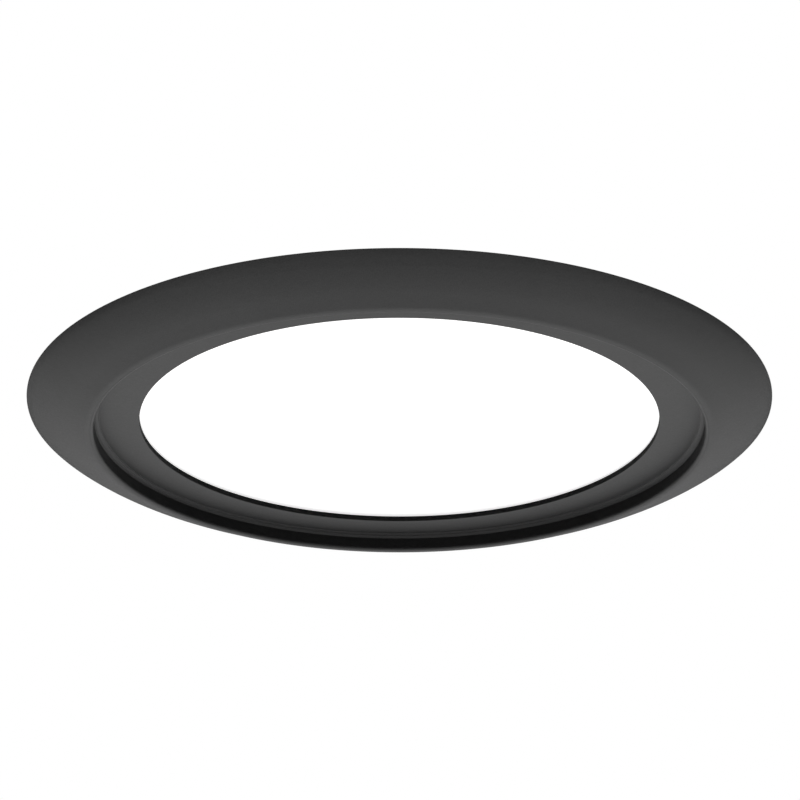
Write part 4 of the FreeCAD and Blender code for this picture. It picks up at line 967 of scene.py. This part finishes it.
def rear_cover():
    """Sheet with a rolled-over burr at its edges and twelve pressed ribs."""
    finish = FINISH["pressed_plate"]
    plate = turned(
        "plate",
        [(5.0, 5.6, 0.1), (73.7, 5.6, 0.15), (73.7, 6.6, 0.35), (5.0, 6.6, 0.3)],
        finish,
        288,
    )
    rib = pressed_rib(13.0, 2.0, 0.8, finish)
    moved(rib, Matrix.Translation((60.5 * MM, 0, 6.6 * MM)))
    return joined("rear_cover_looks", plate, ring_of(rib, 12, 15))


def pan_screw(name, shank_mm):
    """A pan-head screw that stands on its seat at the origin, with a cross recess in its head."""
    finish = FINISH["zinc_steel"]
    head = turned(
        name,
        [
            (0, 1.5),
            (0.7, 1.47),
            (1.3, 1.33, 0.5),
            (1.78, 0.85, 0.5),
            (1.9, 0.2, 0.15),
            (1.85, 0, 0.05),
            (1.0, 0),
            (0.95, -shank_mm),
            (0, -shank_mm),
        ],
        finish,
        40,
        closed=False,
    )
    arm, thick = 0.9, 0.24
    mouth, floor, taper = 1.7, 0.7, 0.45
    star = []
    for turn in range(4):
        for x, y in ((thick, -thick), (arm, -thick), (arm, thick)):
            star.append(Matrix.Rotation(math.radians(90 * turn), 2) @ Vector((x, y)))
    count = len(star)
    points = [(p.x * MM, p.y * MM, mouth * MM) for p in star]
    points += [(p.x * taper * MM, p.y * taper * MM, floor * MM) for p in star]
    sides = [(i, (i + 1) % count, (i + 1) % count + count, i + count) for i in range(count)]
    mesh = bpy.data.meshes.new("recess")
    mesh.from_pydata(points, [], sides + [tuple(range(count)), tuple(range(count, 2 * count))])
    mesh.materials.append(finish)
    return clean(cut(head, clean(new_object("recess", mesh))))


def cover_screws():
    screw = moved(pan_screw("cover_screw", 4.6), Matrix.Translation((72.0 * MM, 0, 6.6 * MM)))
    return ring_of(screw, 8, 22.5)


stands_for(rear_cover(), "fixture", "rear_cover")
stands_for(cover_screws(), "fixture", "rear_cover_screws")


# ---------------------------------------------------------------- earth stud


def earth_stud():
    """A stud with a rolled thread of 0.7 mm pitch and a chamfered end."""
    finish = FINISH["zinc_steel"]
    core = turned("stud", [(0, 0), (1.68, 0), (1.68, 7.5), (1.2, 8.0), (0, 8.0)], finish, 32, False)
    stud = run_tree(
        core,
        THREAD,
        Turns=10.0,
        Thread_radius=1.7 * MM,
        Length=7.0 * MM,
        Ridge=0.28 * MM,
        Finish=finish,
    )
    low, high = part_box("earth_stud")
    middle = (low + high) / 2
    return moved(clean(stud), Matrix.Translation((middle[0], middle[1], low[2])))


stands_for(earth_stud(), "fixture", "earth_stud")
stands_for(dressed("earth_nut", 0.2), "fixture", "earth_nut")
stands_for(dressed("earth_washer", 0.12), "fixture", "earth_washer")


# ---------------------------------------------------------------- driver box


def lid_screws():
    places = [(37, 21, 23.2, 20), (-37, 21, 23.2, 65), (37, -21, 23.2, 5), (-37, -21, 23.2, 48)]
    return copies_of(pan_screw("lid_screw", 6.0), "lid_screws_looks", places)


stands_for(dressed("driver_tray", 0.3, 3), "fixture", "driver_tray")
stands_for(dressed("driver_lid", 0.12), "fixture", "driver_lid")
stands_for(dressed("lid_seal", 0.15), "fixture", "lid_seal")
stands_for(lid_screws(), "fixture", "lid_screws")
stands_for(dressed("selector_switch", 0.15), "fixture", "selector_switch")
stands_for(dressed("selector_knob", 0.15), "selector", "selector_knob")


# ---------------------------------------------------------------- cable gland


def gland_cap():
    """A domed cap nut with twenty grip ribs along it."""
    finish = FINISH["gland_nylon"]
    corners = [(5.0, 4.1), (6.0, 4.1, 0.3), (6.0, 9.7)]
    corners += arc((6.0, 9.7), (4.0, 12.0), 2.4, 8)[:-1]
    corners += [(4.0, 12.0, 0.3), (4.0, 10.1), (5.0, 10.1)]
    cap = turned("cap", corners, finish, 72)
    rib = slab("grip", [(5.6, 4.5), (6.3, 4.5), (6.3, 9.2), (6.0, 9.9), (5.6, 10.0)], 0.7, finish)
    whole = joined("gland_cap_looks", cap, ring_of(softened(rib, 0.15), 20))
    low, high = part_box("gland_cap")
    middle = (low + high) / 2
    turn = Matrix.Rotation(math.radians(-90), 4, "X")
    return moved(whole, Matrix.Translation((middle[0], 26 * MM, middle[2])) @ turn)


stands_for(gland_cap(), "fixture", "gland_cap")
stands_for(dressed("gland_body", 0.25), "fixture", "gland_body")
stands_for(dressed("gland_insert", 0.3), "fixture", "gland_insert")


# ---------------------------------------------------------------- spring clips

for side, sign in (("right", 1), ("left", -1)):
    body = "clip_" + side
    stands_for(dressed("clip_bracket_" + side, 0.14), "fixture", "clip_bracket_" + side)
    stands_for(dressed("clip_rivets_" + side, 0.4, 3), "fixture", "clip_rivets_" + side)
    stands_for(dressed("clip_pin_" + side, 0.2), "fixture", "clip_pin_" + side)
    stands_for(dressed("clip_arm_" + side, 0.12), body, "clip_arm_" + side)
    stands_for(dressed("clip_pad_" + side, 0.3), body, "clip_pad_" + side)
    # the coil, between its leg on the bracket and its leg on the arm, is a dressed copy fixed in
    # place and moves with no body
    spring = dressed("clip_spring_" + side)
    spring.name = f"clip_spring_{side}_looks"
    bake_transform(spring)
    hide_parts("clip_spring_" + side)

stands_for(dressed("tray_rivets", 0.4, 3), "fixture", "tray_rivets")


# ---------------------------------------------------------------- hidden pieces that stay as built

for node, slot in SLOT_OF.items():
    source = frame["nodes"][node]
    if not source.hide_render:
        source.data.materials.clear()
        source.data.materials.append(FINISH[slot])


# ---------------------------------------------------------------- studio

# what a surface seen in the world or the floor gives to the eye, and what it gives as light
WORLD_SEEN, WORLD_LIGHT = 1.0, 0.9
FLOOR_SEEN, FLOOR_LIGHT = 0.8, 0.0
FLOOR_SIDE, FLOOR_HEIGHT = 14, -1.8
LAMP_WATTS, LAMP_SIDE, LAMP_PLACE = 8, 1.6, (0, 0.75, -1.75)
CAMERA_PLACE = (0, -0.9192, -0.3938)
CAMERA_AIM = (0.00015, -0.0008, 0.0019)
CAMERA_LENS, CAMERA_SENSOR = 176.1, 36.0


def lit_only(tree, seen_strength, light_strength):
    """A strength that is one number to what looks at the surface and another to what it lights."""
    rays = add(tree, "ShaderNodeLightPath").outputs
    looked = add(
        tree,
        "ShaderNodeMath",
        {0: rays["Is Camera Ray"], 1: rays["Is Glossy Ray"]},
        operation="MAXIMUM",
    )
    looked = add(
        tree, "ShaderNodeMath", {0: looked, 1: rays["Is Transmission Ray"]}, operation="MAXIMUM"
    )
    return add(
        tree,
        "ShaderNodeMapRange",
        {"Value": looked, "To Min": light_strength, "To Max": seen_strength},
    )


def white_surround():
    world = bpy.data.worlds.new("white_surround")
    bpy.context.scene.world = world
    world.use_nodes = True
    tree = world.node_tree
    tree.nodes.clear()
    strength = lit_only(tree, WORLD_SEEN, WORLD_LIGHT)
    sky = add(tree, "ShaderNodeBackground", {"Color": colour("FFFFFF"), "Strength": strength})
    add(tree, "ShaderNodeOutputWorld", {"Surface": sky})


def white_floor():
    # matt white paint, which looks as white as the surround and still keeps a faint shadow
    material, tree, place = finish_tree("matt_white_floor_paint")
    cloud = add(tree, "ShaderNodeTexNoise", {"Vector": place, "Scale": per(300), "Detail": 1.0})
    tone = add(
        tree, "ShaderNodeMix", {0: cloud, 6: colour("F5F5F4"), 7: colour("F7F7F6")}, data_type="RGBA"
    )
    paint = add(tree, "ShaderNodeBsdfDiffuse", {"Color": tone})
    glow = add(tree, "ShaderNodeEmission", {"Color": colour("FFFFFF"), "Strength": 1.0})
    both = add(
        tree,
        "ShaderNodeMixShader",
        {0: lit_only(tree, FLOOR_SEEN, FLOOR_LIGHT), 1: paint, 2: glow},
    )
    add(tree, "ShaderNodeOutputMaterial", {"Surface": both})
    return material


def black_card():
    # matt black card, for shaping the light
    material, tree, place = finish_tree("matt_black_card")
    fibre = add(tree, "ShaderNodeTexNoise", {"Vector": place, "Scale": per(8), "Detail": 2.0})
    rough = add(tree, "ShaderNodeMapRange", {"Value": fibre, "To Min": 0.85, "To Max": 1.0})
    skin = add(
        tree,
        "ShaderNodeBsdfPrincipled",
        {"Base Color": colour("070707"), "Roughness": rough, "IOR": 1.5},
    )
    add(tree, "ShaderNodeOutputMaterial", {"Surface": skin})
    return material


def studio_sheet(name, width, height, matrix, material):
    x, y = width / 2, height / 2
    mesh = bpy.data.meshes.new(name)
    mesh.from_pydata([(-x, -y, 0), (x, -y, 0), (x, y, 0), (-x, y, 0)], [], [(0, 1, 2, 3)])
    mesh.materials.append(material)
    made = new_object(name, mesh)
    made.matrix_world = matrix
    return made


def cards():
    """Black cards round the light. The front one darkens the ring's near rim, and the others its
    side rims. The back one hangs above the horizon, so that the flat band stays light."""
    cloth = black_card()
    upright = Matrix.Rotation(math.radians(90), 4, "X")
    sideways = Matrix.Rotation(math.radians(90), 4, "Z") @ upright
    for name, width, height, place, stand in (
        ("front_card", 2.6, 2.0, (0, -1.25, -0.15), upright),
        ("side_card_0", 2.8, 2.2, (-1.45, -0.2, 0), sideways),
        ("side_card_1", 2.8, 2.2, (1.45, -0.2, 0), sideways),
        ("back_card", 3.0, 0.8, (0, 1.3, 0.45), upright),
    ):
        matrix = Matrix.Translation(place) @ stand
        studio_sheet(name, width, height, matrix, cloth).visible_camera = False


def aimed(name, data, place, aim):
    """A lamp or camera at a place, turned to its aim."""
    made = new_object(name, data)
    made.location = place
    made.rotation_mode = "QUATERNION"
    made.rotation_quaternion = (Vector(aim) - Vector(place)).to_track_quat("-Z", "Y")
    return made


def light_from_below():
    """One large soft lamp just above the floor, a little behind the object."""
    data = bpy.data.lights.new("light_from_below", "AREA")
    data.shape = "SQUARE"
    data.size = LAMP_SIDE
    data.energy = LAMP_WATTS
    aimed("light_from_below", data, LAMP_PLACE, (0, 0, 0)).visible_camera = False


def camera():
    """Below the light and in front of it, at the photograph's angle of 23.2 degrees."""
    data = bpy.data.cameras.new("camera")
    data.lens = CAMERA_LENS
    data.sensor_width = CAMERA_SENSOR
    data.clip_start, data.clip_end = 0.01, 100
    bpy.context.scene.camera = aimed("camera", data, CAMERA_PLACE, CAMERA_AIM)


white_surround()
on_floor = Matrix.Translation((0, 0, FLOOR_HEIGHT))
studio_sheet("floor", FLOOR_SIDE, FLOOR_SIDE, on_floor, white_floor())
cards()
light_from_below()
camera()
bpy.context.scene.view_settings.view_transform = "Standard"
